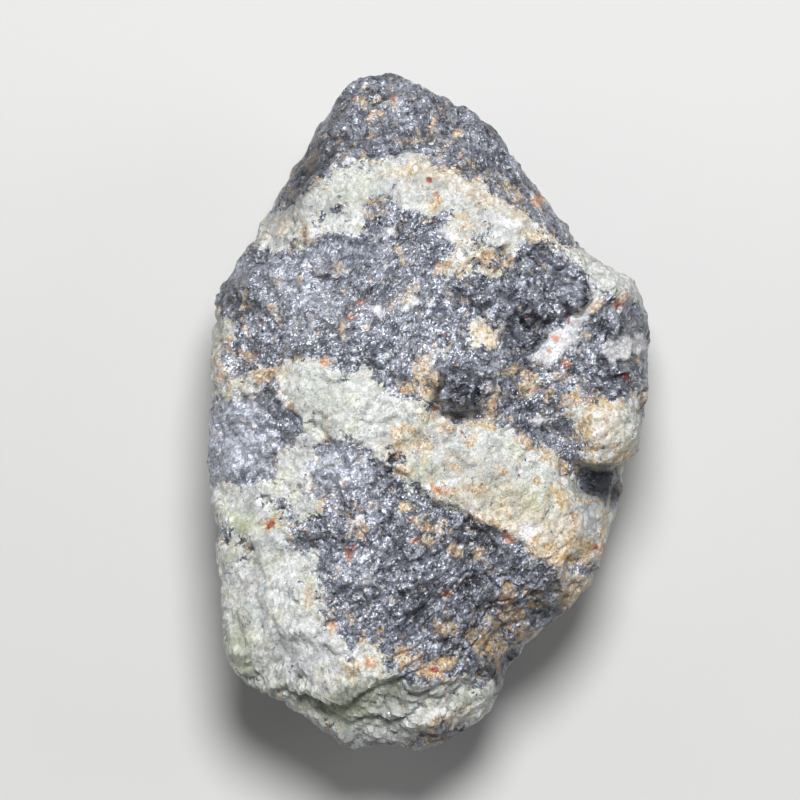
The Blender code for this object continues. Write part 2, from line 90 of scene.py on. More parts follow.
# Broken faces: a point on each, the way it falls, as an angle from X, and how steeply it falls.
FACES = (
    ((-4.0, 28.0, 50.5), 80.0, 8.0),
    ((-2.0, 0.0, 52.5), -100.0, 2.0),
    ((-6.0, -34.0, 49.5), -85.0, 11.0),
    ((-31.0, 2.0, 47.5), 176.0, 23.0),
    ((29.0, 6.0, 48.0), -8.0, 17.0),
    ((-30.0, -30.0, 46.0), 205.0, 24.0),
    ((-8.0, 48.5, 46.0), 97.0, 50.0),
    ((15.0, 40.8, 45.5), 61.0, 46.0),
    ((-24.2, 42.3, 43.0), 148.0, 66.0),
    ((-37.5, 0.0, 43.5), 181.0, 52.0),
    ((37.5, 12.0, 44.0), 2.0, 55.0),
    ((33.0, -20.0, 42.0), -14.0, 58.0),
    ((19.5, -37.0, 44.0), -47.0, 52.0),
    ((-34.5, -48.0, 42.0), 222.0, 55.0),
    ((-6.0, -53.0, 45.0), -92.0, 42.0),
    ((-6.0, -62.5, 34.0), -90.0, 74.0),
    ((-6.0, 64.8, 25.0), 88.0, 122.0),
    ((24.0, 39.5, 27.0), 52.0, 112.0),
    ((42.3, 8.0, 24.0), -8.0, 116.0),
    ((31.5, -32.5, 28.0), -38.0, 113.0),
    ((0.0, -64.5, 30.0), -97.0, 126.0),
    ((-37.5, -49.0, 27.0), 232.0, 115.0),
    ((-41.7, -4.0, 27.0), 184.0, 103.0),
    ((-30.0, 40.0, 26.0), 150.0, 118.0),
    ((2.0, 48.0, 9.0), 76.0, 143.0),
    ((-27.0, 31.0, 8.0), 133.0, 139.0),
    ((-35.0, -8.0, 7.5), 188.0, 131.0),
    ((-25.0, -40.0, 8.5), 236.0, 141.0),
    ((4.0, -50.0, 10.0), -82.0, 147.0),
    ((25.0, -28.0, 8.0), -30.0, 137.0),
    ((34.0, 10.0, 9.5), 14.0, 133.0),
    ((0.0, 0.0, -2.5), 0.0, 180.0),
)
HEART = (0.0, 0.0, 25.0)
FACE_SHARPNESS = 42.0
OUTLINE_LEVEL = 27.0
OUTLINE_FADE = 11.0
OUTLINE_STEPS = 240  # directions in which the surface is fitted to the outline
OUTLINE_MEAN = 2  # steps to each side that a direction's fit is averaged over
PLAIN_TURN = 12  # degrees to each side that the plain outline is averaged over
FRONT_LEVEL = 34.0  # the front's relief starts above this height
FRONT_FADE = 6.0
FRONT_STEEPNESS = 4.0  # it fades out where the surface's normal rises by less than a quarter

# Lumps and pits of the front: middle, half sizes, turn in degrees, height.
LUMPS = (
    ((34.6, -3.2), (6.6, 6.2), 20.0, 3.4),
    ((32.6, -13.6), (5.2, 2.6), -8.0, -3.0),
    ((24.5, -6.0), (7.5, 3.0), -42.0, -1.6),
    ((6.4, 4.8), (5.6, 4.8), -15.0, 2.4),
    ((6.2, -1.4), (4.4, 1.2), -4.0, -1.7),
    ((18.4, 15.6), (4.4, 3.4), 10.0, -2.0),
    ((17.0, 13.2), (1.6, 1.3), 0.0, 1.4),
    ((-16.0, 36.5), (8.0, 6.0), 25.0, 1.3),
    ((-22.0, 22.0), (9.0, 8.0), 0.0, 1.2),
    ((10.5, 22.0), (4.2, 1.6), 15.0, 1.5),
    ((-17.0, 1.0), (9.0, 6.0), -20.0, 1.3),
    ((11.0, -11.5), (10.0, 5.0), -24.0, 1.2),
    ((26.5, -20.0), (7.5, 5.5), -30.0, 1.6),
    ((-27.0, -6.5), (6.0, 5.0), 15.0, -1.2),
    ((-22.0, -26.5), (4.4, 2.6), 30.0, -1.1),
    ((-26.0, -38.0), (10.0, 9.0), 35.0, 1.7),
    ((-26.6, -44.0), (4.5, 2.6), 10.0, -0.9),
    ((-8.0, -27.0), (7.5, 9.0), 30.0, 1.1),
    ((12.0, -41.5), (6.0, 4.0), 25.0, -1.4),
    ((17.6, -34.2), (4.0, 2.0), 8.0, 1.7),
    ((4.0, 54.0), (5.0, 3.0), -30.0, -1.0),
    ((36.5, 22.8), (3.4, 2.4), -25.0, 1.1),
    ((37.0, 6.5), (4.5, 3.5), 5.0, 1.2),
    ((-2.0, -57.5), (4.0, 3.0), 0.0, 1.5),
    ((10.4, -57.0), (2.2, 2.6), 20.0, 1.3),
    ((2.4, 18.1), (1.3, 1.1), 0.0, -1.5),
    ((-14.9, 28.6), (2.2, 0.8), 20.0, -1.5),
    ((-23.8, -50.8), (1.2, 1.0), 0.0, -1.3),
    ((-28.6, -47.2), (1.3, 1.0), 0.0, -1.2),
)

# Ledges: rise, how far it fades, and the lip's path. The side on the left of the path is high.
LEDGES = (
    (3.6, 6.0, ((-29.0, -52.5), (-24.4, -54.1), (-18.5, -54.4), (-15.3, -54.4),
                (-12.3, -52.0), (-9.6, -50.8), (-5.8, -49.0))),
    (1.6, 5.0, ((-2.0, -51.5), (3.0, -50.6), (8.0, -51.0), (13.0, -52.2))),
    (1.6, 3.0, ((1.8, 0.8), (3.4, -0.2), (8.4, -0.2), (10.0, 0.8))),
    (2.8, 4.0, ((28.5, -9.4), (32.0, -10.6), (37.0, -10.2), (41.0, -8.4))),
    (2.0, 3.5, ((6.6, 23.2), (10.0, 23.6), (15.0, 26.0))),
    (1.3, 4.0, ((-26.0, 25.0), (-22.0, 24.4), (-18.0, 25.2))),
    (1.4, 4.0, ((-8.0, 23.8), (-5.0, 25.2), (-3.0, 28.0))),
    (1.5, 5.0, ((-10.0, -9.4), (-4.0, -12.0), (2.0, -17.2), (9.0, -20.6),
                (17.0, -23.8), (21.0, -28.0))),
    (1.8, 4.0, ((17.4, -32.6), (20.5, -33.2), (24.6, -33.6))),
    (1.0, 3.0, ((-8.0, -29.0), (-2.0, -27.0), (5.6, -24.8))),
    (1.0, 3.0, ((-6.0, -33.6), (2.0, -30.6), (10.0, -28.0))),
    (1.0, 3.0, ((-10.0, -38.4), (-3.0, -36.6), (6.0, -33.4))),
    (1.1, 3.5, ((-30.0, 34.0), (-24.0, 31.6), (-17.0, 33.0), (-10.0, 31.0))),
    (1.4, 4.0, ((-12.0, 55.0), (-4.0, 56.6), (4.0, 53.2), (10.0, 50.0))),
    (1.1, 3.0, ((-14.6, 61.5), (-16.1, 55.8), (-17.2, 49.9), (-24.2, 41.3), (-27.8, 36.5))),
)

# Cracks and creases: depth, half width, path.
CREASES = (
    (1.6, 0.8, ((-4.4, -40.4), (-2.0, -37.6), (0.6, -34.8))),
    (1.0, 0.6, ((-14.0, -59.4), (-11.4, -57.8))),
    (1.2, 0.7, ((-5.4, -57.4), (-1.0, -55.2))),
    (1.0, 0.6, ((-3.4, -52.8), (-0.2, -52.0))),
    (1.0, 0.8, ((-38.0, -38.4), (-35.4, -44.6))),
    (1.0, 0.7, ((-32.4, -38.0), (-31.0, -41.8))),
    (1.0, 0.7, ((-28.8, -34.0), (-24.6, -36.0))),
    (2.6, 1.3, ((10.6, -50.6), (13.0, -51.6), (16.0, -52.2))),
    (1.0, 0.8, ((-22.0, -2.0), (-18.0, -6.0), (-16.0, -10.0))),
    (1.2, 0.9, ((21.5, 30.0), (27.0, 25.6), (30.6, 24.4))),
)

# Larger franklinite crystals: middle, half size, turn in degrees, height, lean of the top.
CRYSTALS = (
    ((28.2, 21.4), 2.7, 50.0, 2.6, -0.4),
    ((10.4, 21.6), 2.2, 35.0, 1.4, -0.45),
    ((5.6, 4.4), 3.6, -18.0, 2.2, -0.35),
    ((1.6, 6.4), 1.8, 30.0, 1.4, 0.3),
    ((11.0, 4.9), 1.7, 10.0, 1.2, -0.3),
    ((19.8, 18.6), 1.8, 40.0, 1.3, 0.45),
    ((14.6, 16.2), 1.6, 10.0, 1.1, -0.38),
    ((-27.5, 19.5), 2.2, 30.0, 1.0, 0.38),
    ((-20.0, 27.5), 2.0, 5.0, 1.0, -0.3),
    ((-17.5, 18.0), 1.8, 50.0, 0.8, 0.45),
    ((-3.5, 15.5), 2.2, 18.0, 1.0, 0.38),
    ((-9.0, 10.5), 1.9, 42.0, 0.9, -0.38),
    ((32.5, 13.5), 2.1, 28.0, 1.0, 0.45),
    ((36.0, 9.0), 1.9, 8.0, 0.9, -0.3),
    ((-3.0, -24.5), 2.3, 33.0, 1.0, 0.38),
    ((5.5, -29.0), 2.1, 12.0, 1.0, -0.38),
    ((13.5, -31.0), 2.0, 48.0, 1.0, 0.45),
    ((-10.5, -33.0), 1.9, 25.0, 0.9, -0.3),
    ((-6.0, 58.5), 2.2, 20.0, 0.9, 0.38),
    ((3.5, 55.5), 2.0, 45.0, 0.8, -0.38),
    ((-35.0, -1.5), 2.1, 15.0, 0.8, 0.38),
)
LIP = 1.1  # half the width of a ledge's step
LEDGE_END = 1.5  # how soon a ledge fades out past its ends
CRYSTAL_WALL = 2.6  # how steep a crystal's walls are

# Uneven fracture all round the stone: size of the waves or broken grains, how far each moves the
# surface, and its seed. The finer grains after them stand out more in franklinite.
WAVES = ((34.0, 1.5, 11), (15.0, 0.9, 12), (7.0, 0.5, 13))
GRAINS = ((9.0, 1.1, 31), (4.4, 0.5, 36))
LUMPY_GRAINS = ((5.6, 0.4, 51), (2.6, 0.26, 56), (1.3, 0.12, 61))
FINE_WAVES = ((3.2, 0.16, 17),)
FINE_GRAINS = ((5.0, 0.5, 41), (2.2, 0.3, 46), (1.2, 0.16, 51))
FURROWS = ((7.0, 2.4, 33.0, 0.75, 91), (8.0, 2.0, 62.0, 0.5, 96))
WILLEMITE_ROUGHNESS = 0.48
SIDE_SMOOTHNESS = 0.65  # what is left of the fine relief on upright sides
SIDE_STEEPNESS = 2.0
HOLLOW_GRAINS = 0.5  # how much the larger grains count in what is hollow
UNDER_FACE = (-46.0, 5.0, 0.5)  # where it starts along Y, how soon, and how much rougher it is
WAVE_GAIN = 1.6
GRAIN_BLEND = 10.0  # how sharply broken grains meet
GRAIN_LEVEL = 0.5  # how much higher one grain stands than the next
DOME_LEAN = 0.6
DOME_HEIGHT = 0.7
SEAM = (0.45, 0.16)  # depth and width of the crease between two domes
FURROW_WIDTH = 0.35
FURROW_PATCHES = (11.0, 1.6, 0.7)  # their size, how sharp they are, and how much they cover

# The drum that the rays go to, and how many cells its top, its wall and its floor have.
DRUM = (42.0, 65.0, 27.0)
TOP_CELLS = (168, 256)
WALL_ROWS = 58
FLOOR_ROWS = 8
FLOOR_RING = 0.45

# Whole numbers that scatter the bits of a cell's number.
CELL_FACTORS = (73856093, 19349663, 83492791)
SEED_FACTOR = 7919
MIX_FACTORS = (2654435761, 2246822519, 3266489917)
MIX_STEP = 40503


def cell_random(cells, seed):
    """Return three repeatable numbers from 0 to 1 for each whole-numbered cell, by multiplying
    and folding its number."""
    mixed = (cells * np.array(CELL_FACTORS)).sum(axis=-1) + seed * SEED_FACTOR
    numbers = []
    for step in (1, 2, 3):
        value = (mixed * MIX_FACTORS[0] + step * MIX_STEP) & 0xFFFFFFFF
        value = ((value ^ (value >> 15)) * MIX_FACTORS[1]) & 0xFFFFFFFF
        value = ((value ^ (value >> 13)) * MIX_FACTORS[2]) & 0xFFFFFFFF
        numbers.append(((value ^ (value >> 16)) & 0xFFFF) / 0xFFFF)
    return np.stack(numbers, axis=-1)


def waves(points, size, seed):
    """Return smooth noise from about -1 to 1: random slopes at the corners of cubes of this size,
    blended inside each cube by 6t^5 - 15t^4 + 10t^3."""
    scaled = points / size
    low = np.floor(scaled)
    part = scaled - low
    blend = part**3 * (part * (part * 6 - 15) + 10)
    total = np.zeros(len(points))
    for corner in itertools.product((0, 1), repeat=3):
        slopes = cell_random((low + corner).astype(np.int64), seed) * 2 - 1
        share = np.prod(np.where(np.array(corner) == 1, blend, 1 - blend), axis=-1)
        total += share * ((part - corner) * slopes).sum(axis=-1)
    return total * WAVE_GAIN


def scattered_seeds(points, size, seed):
    """For each cube round the points give the offset from the random place in it, in sizes, and
    its random slope and level, from -1 to 1 and from -0.5 to 0.5."""
    scaled = points / size
    low = np.floor(scaled)
    for step in itertools.product((-1, 0, 1), repeat=3):
        cells = (low + step).astype(np.int64)
        offset = scaled - (cells + cell_random(cells, seed))
        slope = cell_random(cells, seed + 1) * 2 - 1
        yield offset, slope, cell_random(cells, seed + 2)[:, 0] - 0.5


def broken_grains(points, size, seed):
    """Return the relief of broken grains: space is parted round scattered seeds, and each part is
    a plane through its seed with its own slope and level. Where parts meet, their planes are
    averaged with the weight exp(-blend * distance^2)."""
    relief = np.zeros(len(points))
    weights = np.zeros(len(points))
    for offset, slope, level in scattered_seeds(points, size, seed):
        plane = GRAIN_LEVEL * level + (offset * slope).sum(axis=-1)
        weight = np.exp(-GRAIN_BLEND * (offset**2).sum(axis=-1))
        relief += weight * plane
        weights += weight
    return relief / weights


def lumpy_grains(points, size, seed):
    """Return the relief of grown-together crystals: round each scattered seed a leaning dome,
    level - height * distance^2, with a crease of exp(-(d2 - d1)^2) where two of them meet."""
    nearest = np.full(len(points), np.inf)
    second = np.full(len(points), np.inf)
    relief = np.zeros(len(points))
    for offset, slope, level in scattered_seeds(points, size, seed):
        distance = (offset**2).sum(axis=-1)
        dome = (offset * (slope * DOME_LEAN)).sum(axis=-1) + DOME_HEIGHT * level
        dome -= DOME_HEIGHT * distance
        second = np.where(distance < nearest, nearest, np.minimum(second, distance))
        relief = np.where(distance < nearest, dome, relief)
        nearest = np.minimum(distance, nearest)
    apart = np.sqrt(second) - np.sqrt(nearest)
    return relief - SEAM[0] * np.exp(-((apart / SEAM[1]) ** 2))


def turned(points, middle, turn):
    """Return the first two coordinates measured from a middle, along axes turned by degrees."""
    turn = math.radians(turn)
    across = points[:, 0] - middle[0]
    along = points[:, 1] - middle[1]
    return (
        across * math.cos(turn) + along * math.sin(turn),
        along * math.cos(turn) - across * math.sin(turn),
    )


def furrows(points, length, width, turn, seed):
    """Return long shallow furrows, exp(-(w / width)^2) where w is a noise drawn out to this length
    and width along a direction turned from X, only where a slower noise lets them be."""
    across, along = turned(points, (0.0, 0.0), turn)
    drawn = np.column_stack((across / length, along / width, points[:, 2] / width))
    size, sharpness, cover = FURROW_PATCHES
    there = np.clip(sharpness * waves(points, size, seed + 1) + cover, 0.0, 1.0)
    return -there * np.exp(-((waves(drawn, 1.0, seed) / FURROW_WIDTH) ** 2))


def summed(relief, points, table):
    """Return one kind of relief in several sizes: the sum of height * relief of each size."""
    return sum(height * relief(points, size, seed) for size, height, seed in table)


def outline_radius(angle):
    """Return how far the outline is from the origin at each angle: straight between its points."""
    corners = np.array(OUTLINE)
    turns = np.arctan2(corners[:, 1], corners[:, 0])
    return np.interp(angle, turns, np.hypot(corners[:, 0], corners[:, 1]), period=2 * math.pi)


def plain_radius(angle):
    """Return the outline's radius without its small steps: its mean over some degrees."""
    turns = [math.radians(turn) for turn in range(-PLAIN_TURN, PLAIN_TURN + 1, 2)]
    return np.mean([outline_radius(angle + turn) for turn in turns], axis=0)


def below_outline(heights):
    """Return how far below the outline's level a height is, from 0 to 1 where all fades out."""
    return np.clip((OUTLINE_LEVEL - heights) / OUTLINE_FADE, 0.0, 1.0)


def broken_body(rays):
    """Return where each ray leaves the body and the way the surface faces there. The body is what
    lies inside the outline and behind every broken face, with rounded edges: the reach is
    1 / (sum of (pull of each face)^s)^(1/s), where s is the sharpness."""
    pulls = []
    facings = []
    for place, fall, slope in FACES:
        fall = math.radians(fall)
        slope = math.radians(slope)
        level = math.sin(slope)
        facing = np.array((level * math.cos(fall), level * math.sin(fall), math.cos(slope)))
        away = facing @ (np.array(place) - HEART)
        pulls.append(np.maximum(rays @ facing, 0.0) / away)
        facings.append(facing / away)
    flat = np.maximum(np.hypot(rays[:, 0], rays[:, 1]), 1e-9)
    angle = np.arctan2(rays[:, 1], rays[:, 0])
    low = below_outline(HEART[2] + rays[:, 2] / flat * outline_radius(angle))
    reach = outline_radius(angle) * (1 - low) + plain_radius(angle) * low
    pulls.append(flat / reach)
    pulls = np.array(pulls)
    highest = pulls.max(axis=0)
    total = highest * ((pulls / highest) ** FACE_SHARPNESS).sum(axis=0) ** (1 / FACE_SHARPNESS)
    weights = (pulls / total) ** (FACE_SHARPNESS - 1)
    normals = weights[:-1].T @ np.array(facings)
    outward = np.column_stack((rays[:, 0] / flat, rays[:, 1] / flat, np.zeros(len(rays))))
    normals += (weights[-1] / reach)[:, None] * outward
    normals /= np.linalg.norm(normals, axis=1)[:, None]
    return np.array(HEART) + rays / total[:, None], normals


def beside_path(points, path):
    """Return how far each point is from a path in the flat, on which side of it, over 0 on its
    left, and how far past its ends."""
    nearest = np.full(len(points), np.inf)
    side = np.zeros(len(points))
    beyond = np.zeros(len(points))
    last = len(path) - 2
    for index, (start, end) in enumerate(zip(path[:-1], path[1:])):
        step = np.array(end) - start
        length = np.hypot(*step)
        offset = points[:, :2] - start
        along = offset @ step / length
        across = (step[0] * offset[:, 1] - step[1] * offset[:, 0]) / length
        over = np.maximum(np.maximum(-along, along - length), 0.0)
        distance = np.hypot(over, across)
        closer = distance < nearest
        at_end = (index == 0) & (along < 0) | (index == last) & (along > length)
        side = np.where(closer, np.sign(across), side)
        beyond = np.where(closer, np.where(at_end, over, 0.0), beyond)
        nearest = np.minimum(distance, nearest)
    return nearest, side, beyond


def front_relief(points):
    """Return how far lumps, ledges, creases and crystals move each point: a lump is
    height * exp(-r^3), a ledge a step that fades on both sides, a crease exp(-d^2), a crystal a
    leaning square top with sloping walls."""
    relief = np.zeros(len(points))
    for middle, sizes, turn, height in LUMPS:
        across, along = turned(points, middle, turn)
        relief += height * np.exp(-(((across / sizes[0]) ** 2 + (along / sizes[1]) ** 2) ** 1.5))
    for rise, fade, path in LEDGES:
        distance, side, beyond = beside_path(points, path)
        step = 0.5 * rise * side * np.sin(0.5 * math.pi * np.minimum(distance / LIP, 1.0))
        relief += step * np.exp(-distance / fade) * np.exp(-((beyond / LEDGE_END) ** 2))
    for depth, half_width, path in CREASES:
        distance = beside_path(points, path)[0]
        relief -= depth * np.exp(-((distance / half_width) ** 2))
    for middle, half, turn, height, lean in CRYSTALS:
        across, along = turned(points, middle, turn)
        top = height * (1.0 + lean * along / half)
        walls = CRYSTAL_WALL * (half - np.maximum(np.abs(across), np.abs(along)))
        relief += np.maximum(np.minimum(top, walls), 0.0)
    return relief


def fitted_to_outline(points):
    """Stretch each direction so that its widest level reaches the outline. The stretch fades out
    below the outline's level."""
    angle = np.arctan2(points[:, 1], points[:, 0])
    step = 2 * math.pi / OUTLINE_STEPS
    share = np.round(angle / step).astype(int) % OUTLINE_STEPS
    widest = np.zeros(OUTLINE_STEPS)
    np.maximum.at(widest, share, np.hypot(points[:, 0], points[:, 1]))
    middles = np.arange(OUTLINE_STEPS) * step
    short = outline_radius(middles) / widest
    shifts = range(-OUTLINE_MEAN, OUTLINE_MEAN + 1)
    short = np.mean([np.roll(short, shift) for shift in shifts], axis=0)
    stretch = np.interp(angle, middles, short, period=2 * math.pi)
    low = below_outline(points[:, 2])
    stretch = stretch * (1 - low) + low
    return points * np.column_stack((stretch, stretch, np.ones(len(points))))


def drum_grid():
    """Return the rays to the points of an oval drum and the cells between them. The drum's top is
    a square grid bent into a disk: a square of half side r becomes a circle of radius r. Rings
    then go down the wall and in over the floor, and the last ring closes with one flat face."""
    across, along = TOP_CELLS
    u, v = np.meshgrid(np.linspace(-1, 1, across + 1), np.linspace(-1, 1, along + 1))
    wide = np.abs(u) > np.abs(v)
    radius = np.where(wide, u, v)
    safe = np.where(radius == 0, 1.0, radius)
    turn = np.where(wide, math.pi / 4 * v / safe, math.pi / 2 - math.pi / 4 * u / safe)
    top = np.stack((radius * np.cos(turn), radius * np.sin(turn), np.ones_like(u)), axis=-1)
    number = np.arange((across + 1) * (along + 1)).reshape(along + 1, across + 1)
    quads = np.stack((number[:-1, :-1], number[:-1, 1:], number[1:, 1:], number[1:, :-1]), -1)
    rim = np.concatenate((number[0, :-1], number[:-1, -1], number[-1, :0:-1], number[:0:-1, 0]))
    edge = top.reshape(-1, 3)[rim]
    wall = [(1.0, 1.0 - 2.0 * row / WALL_ROWS) for row in range(1, WALL_ROWS + 1)]
    inward = [1.0 - (1.0 - FLOOR_RING) * row / FLOOR_ROWS for row in range(1, FLOOR_ROWS + 1)]
    rings = np.array([edge * (wide, wide, level)
                      for wide, level in wall + [(wide, -1.0) for wide in inward]])
    count = len(rim)
    rows = np.arange(len(rings) * count).reshape(-1, count) + number.size
    rows = np.vstack((rim, rows))
    after = np.roll(rows, -1, axis=1)
    bands = np.stack((rows[:-1], rows[1:], after[1:], after[:-1]), -1)
    rays = np.vstack((top.reshape(-1, 3), rings.reshape(-1, 3))) * DRUM
    cells = np.vstack((quads.reshape(-1, 4), bands.reshape(-1, 4)))
    return rays / np.linalg.norm(rays, axis=1)[:, None], cells, rows[-1][::-1]


# The minerals are grown through the stone. Their bodies are given as the front shows them, and
# those that reach the edge go on past it, down the sides.
PICTURE_ORIGIN = (427.5, 412.5)  # the pixel above the origin
WILLEMITE = (
    # the band under the crown, with its lobe and its streaks on the left
    ((320, 180), (326, 173), (331, 169), (338, 166), (352, 168), (357, 163), (362, 160),
     (378, 160), (392, 157), (404, 153), (412, 152), (420, 156), (436, 164), (455, 172),
     (470, 180), (485, 188), (498, 197), (510, 205), (525, 215), (545, 229), (560, 239),
     (576, 246), (600, 258), (620, 268), (644, 280), (720, 270), (720, 312), (644, 303),
     (632, 298), (622, 297), (606, 290), (600, 290), (588, 277), (582, 270), (575, 266),
     (566, 260), (560, 250), (553, 245), (545, 243), (535, 245), (528, 241), (520, 246),
     (512, 262), (505, 280), (496, 282), (484, 276), (472, 274), (462, 276), (448, 278),
     (438, 272), (436, 264), (450, 256), (458, 246), (450, 236), (441, 222), (430, 217),
     (424, 216), (413, 214), (402, 212), (400, 202), (392, 199), (384, 197), (368, 200),
     (363, 205), (366, 222), (363, 229), (358, 234), (340, 236), (330, 234), (323, 230),
     (318, 240), (306, 250), (290, 244), (274, 252), (262, 244), (254, 234), (262, 224),
     (272, 214), (290, 205), (303, 197), (318, 186)),
    # the belt across the middle, from the left to the right edge
    ((268, 376), (276, 362), (282, 358), (298, 359), (310, 357), (318, 360), (330, 366),
     (344, 376), (350, 378), (360, 371), (364, 363), (368, 370), (374, 388), (388, 393),
     (398, 392), (400, 400), (416, 402), (430, 404), (435, 410), (440, 416), (448, 420),
     (456, 418), (478, 421), (500, 422), (510, 426), (518, 432), (528, 444), (545, 450),
     (553, 454), (560, 462), (572, 478), (588, 490), (606, 497), (620, 500), (720, 510),
     (720, 600), (640, 582), (604, 566), (582, 562), (560, 567), (545, 562), (532, 555),
     (519, 537), (499, 530), (477, 521), (452, 507), (436, 501), (418, 490), (406, 476),
     (395, 466), (385, 463), (378, 461), (366, 447), (352, 440), (340, 436), (322, 440),
     (312, 446), (306, 462), (302, 484), (276, 486), (274, 468), (276, 454), (288, 446),
     (298, 436), (300, 428), (298, 418), (290, 404), (283, 392), (276, 382)),
    # the lower left and the face under it
    ((130, 482), (208, 488), (222, 484), (240, 486), (262, 484), (280, 480), (300, 480),
     (308, 492), (322, 500), (318, 510), (314, 520), (296, 520), (288, 528), (292, 540),
     (300, 548), (320, 553), (316, 562), (322, 572), (325, 585), (318, 596), (330, 606),
     (316, 618), (338, 630), (344, 640), (352, 646), (366, 640), (380, 648), (386, 660),
     (396, 670), (410, 684), (430, 686), (446, 680), (460, 676), (478, 684), (490, 678),
     (500, 690), (512, 720), (530, 820), (130, 820)),
    # the lump at the right edge
    ((566, 402), (585, 405), (605, 400), (630, 402), (640, 396), (720, 396), (720, 470),
     (641, 455), (636, 458), (618, 466), (596, 468), (586, 470), (580, 452), (576, 438),
     (568, 420), (566, 410)),
    # the patch and the strip at the left edge
    ((130, 300), (214, 306), (220, 316), (226, 322), (232, 333), (227, 342), (224, 352),
     (223, 360), (229, 364), (226, 372), (222, 378), (216, 384), (130, 388)),
    ((130, 402), (214, 392), (222, 388), (230, 384), (238, 379), (245, 373), (255, 368),
     (262, 366), (266, 372), (262, 378), (256, 386), (258, 395), (250, 393), (240, 392),
     (232, 396), (216, 398), (130, 410)),
    # the tan corner at the lower right
    ((556, 580), (566, 574), (590, 570), (680, 590), (640, 660), (568, 608), (558, 600),
     (562, 590)),
    # small bodies in the upper franklinite
    ((466, 320), (478, 320), (490, 324), (500, 330), (500, 340), (494, 346), (476, 350),
     (470, 345), (468, 335)),
    ((445, 348), (440, 356), (432, 360), (430, 378), (425, 384), (428, 392), (430, 400),
     (424, 402), (418, 398), (416, 388), (420, 380), (418, 370), (421, 362), (437, 350)),
)
CALCITE = (
    ((590, 278), (600, 290), (598, 302), (592, 312), (585, 320), (580, 330), (575, 340),
     (568, 350), (560, 358), (552, 366), (545, 368), (538, 362), (530, 356), (534, 348),
     (545, 342), (552, 334), (560, 325), (568, 318), (577, 312), (585, 305), (588, 295)),
    ((602, 348), (612, 342), (626, 336), (640, 338), (650, 346), (642, 356), (628, 360),
     (612, 364), (600, 358)),
)

# Rounded patches, all in the picture: middle, half sizes and turn in degrees.
FRANKLINITE_SPOTS = (
    (339, 211, 6, 6, 0), (485, 234, 8, 5, 20), (484, 249, 7, 4, -10), (465, 253, 2, 4, 0),
    (475, 265, 3, 3, 0), (280, 506, 5, 7, 0), (291, 514, 5, 5, 0), (224, 534, 8, 8, 20),
    (210, 601, 9, 11, 0), (566, 565, 8, 5, 20), (592, 571, 10, 6, 30), (302, 236, 4, 9, 15),
    (391, 461, 9, 4, 0), (240, 538, 6, 3, 20), (436, 220, 7, 5, 0), (443, 251, 9, 6, 10),
    (499, 262, 11, 12, 0), (474, 266, 5, 5, 0), (486, 262, 6, 5, 0), (455, 735, 24, 8, -12),
    (418, 745, 12, 5, 0), (330, 732, 7, 9, 0), (588, 451, 5, 4, 0), (577, 444, 5, 5, 0),
    (565, 470, 6, 5, 0), (262, 500, 4, 4, 0), (248, 548, 5, 4, 0), (300, 548, 5, 5, 0),
    (350, 660, 5, 5, 0), (650, 412, 10, 20, 0), (574, 586, 7, 6, 0), (560, 600, 8, 5, 30),
    (587, 598, 6, 6, 0),
)
CALCITE_SPOTS = (
    (349, 159, 7, 6, 0), (449, 237, 11, 6, -10), (458, 252, 4, 11, 20), (381, 236, 5, 3, 0),
    (359, 522, 8, 7, 30), (376, 310, 9, 6, 10), (393, 235, 8, 5, 0), (283, 399, 6, 5, 0),
    (536, 420, 10, 6, 0), (412, 303, 8, 5, 10), (476, 513, 7, 6, 0), (526, 530, 15, 8, 25),
    (482, 713, 4, 11, -35), (492, 147, 4, 3, 0), (474, 134, 4, 4, 0), (597, 430, 8, 5, 20),
    (448, 484, 14, 5, 5), (312, 331, 3, 4, 0), (388, 352, 4, 5, 0), (374, 309, 9, 4, 10),
    (212, 491, 8, 6, 0), (470, 190, 10, 3, -28), (414, 168, 6, 4, -10), (508, 224, 10, 4, -30),
    (635, 343, 11, 6, 25), (528, 386, 9, 5, 10), (566, 402, 7, 4, 0),
)
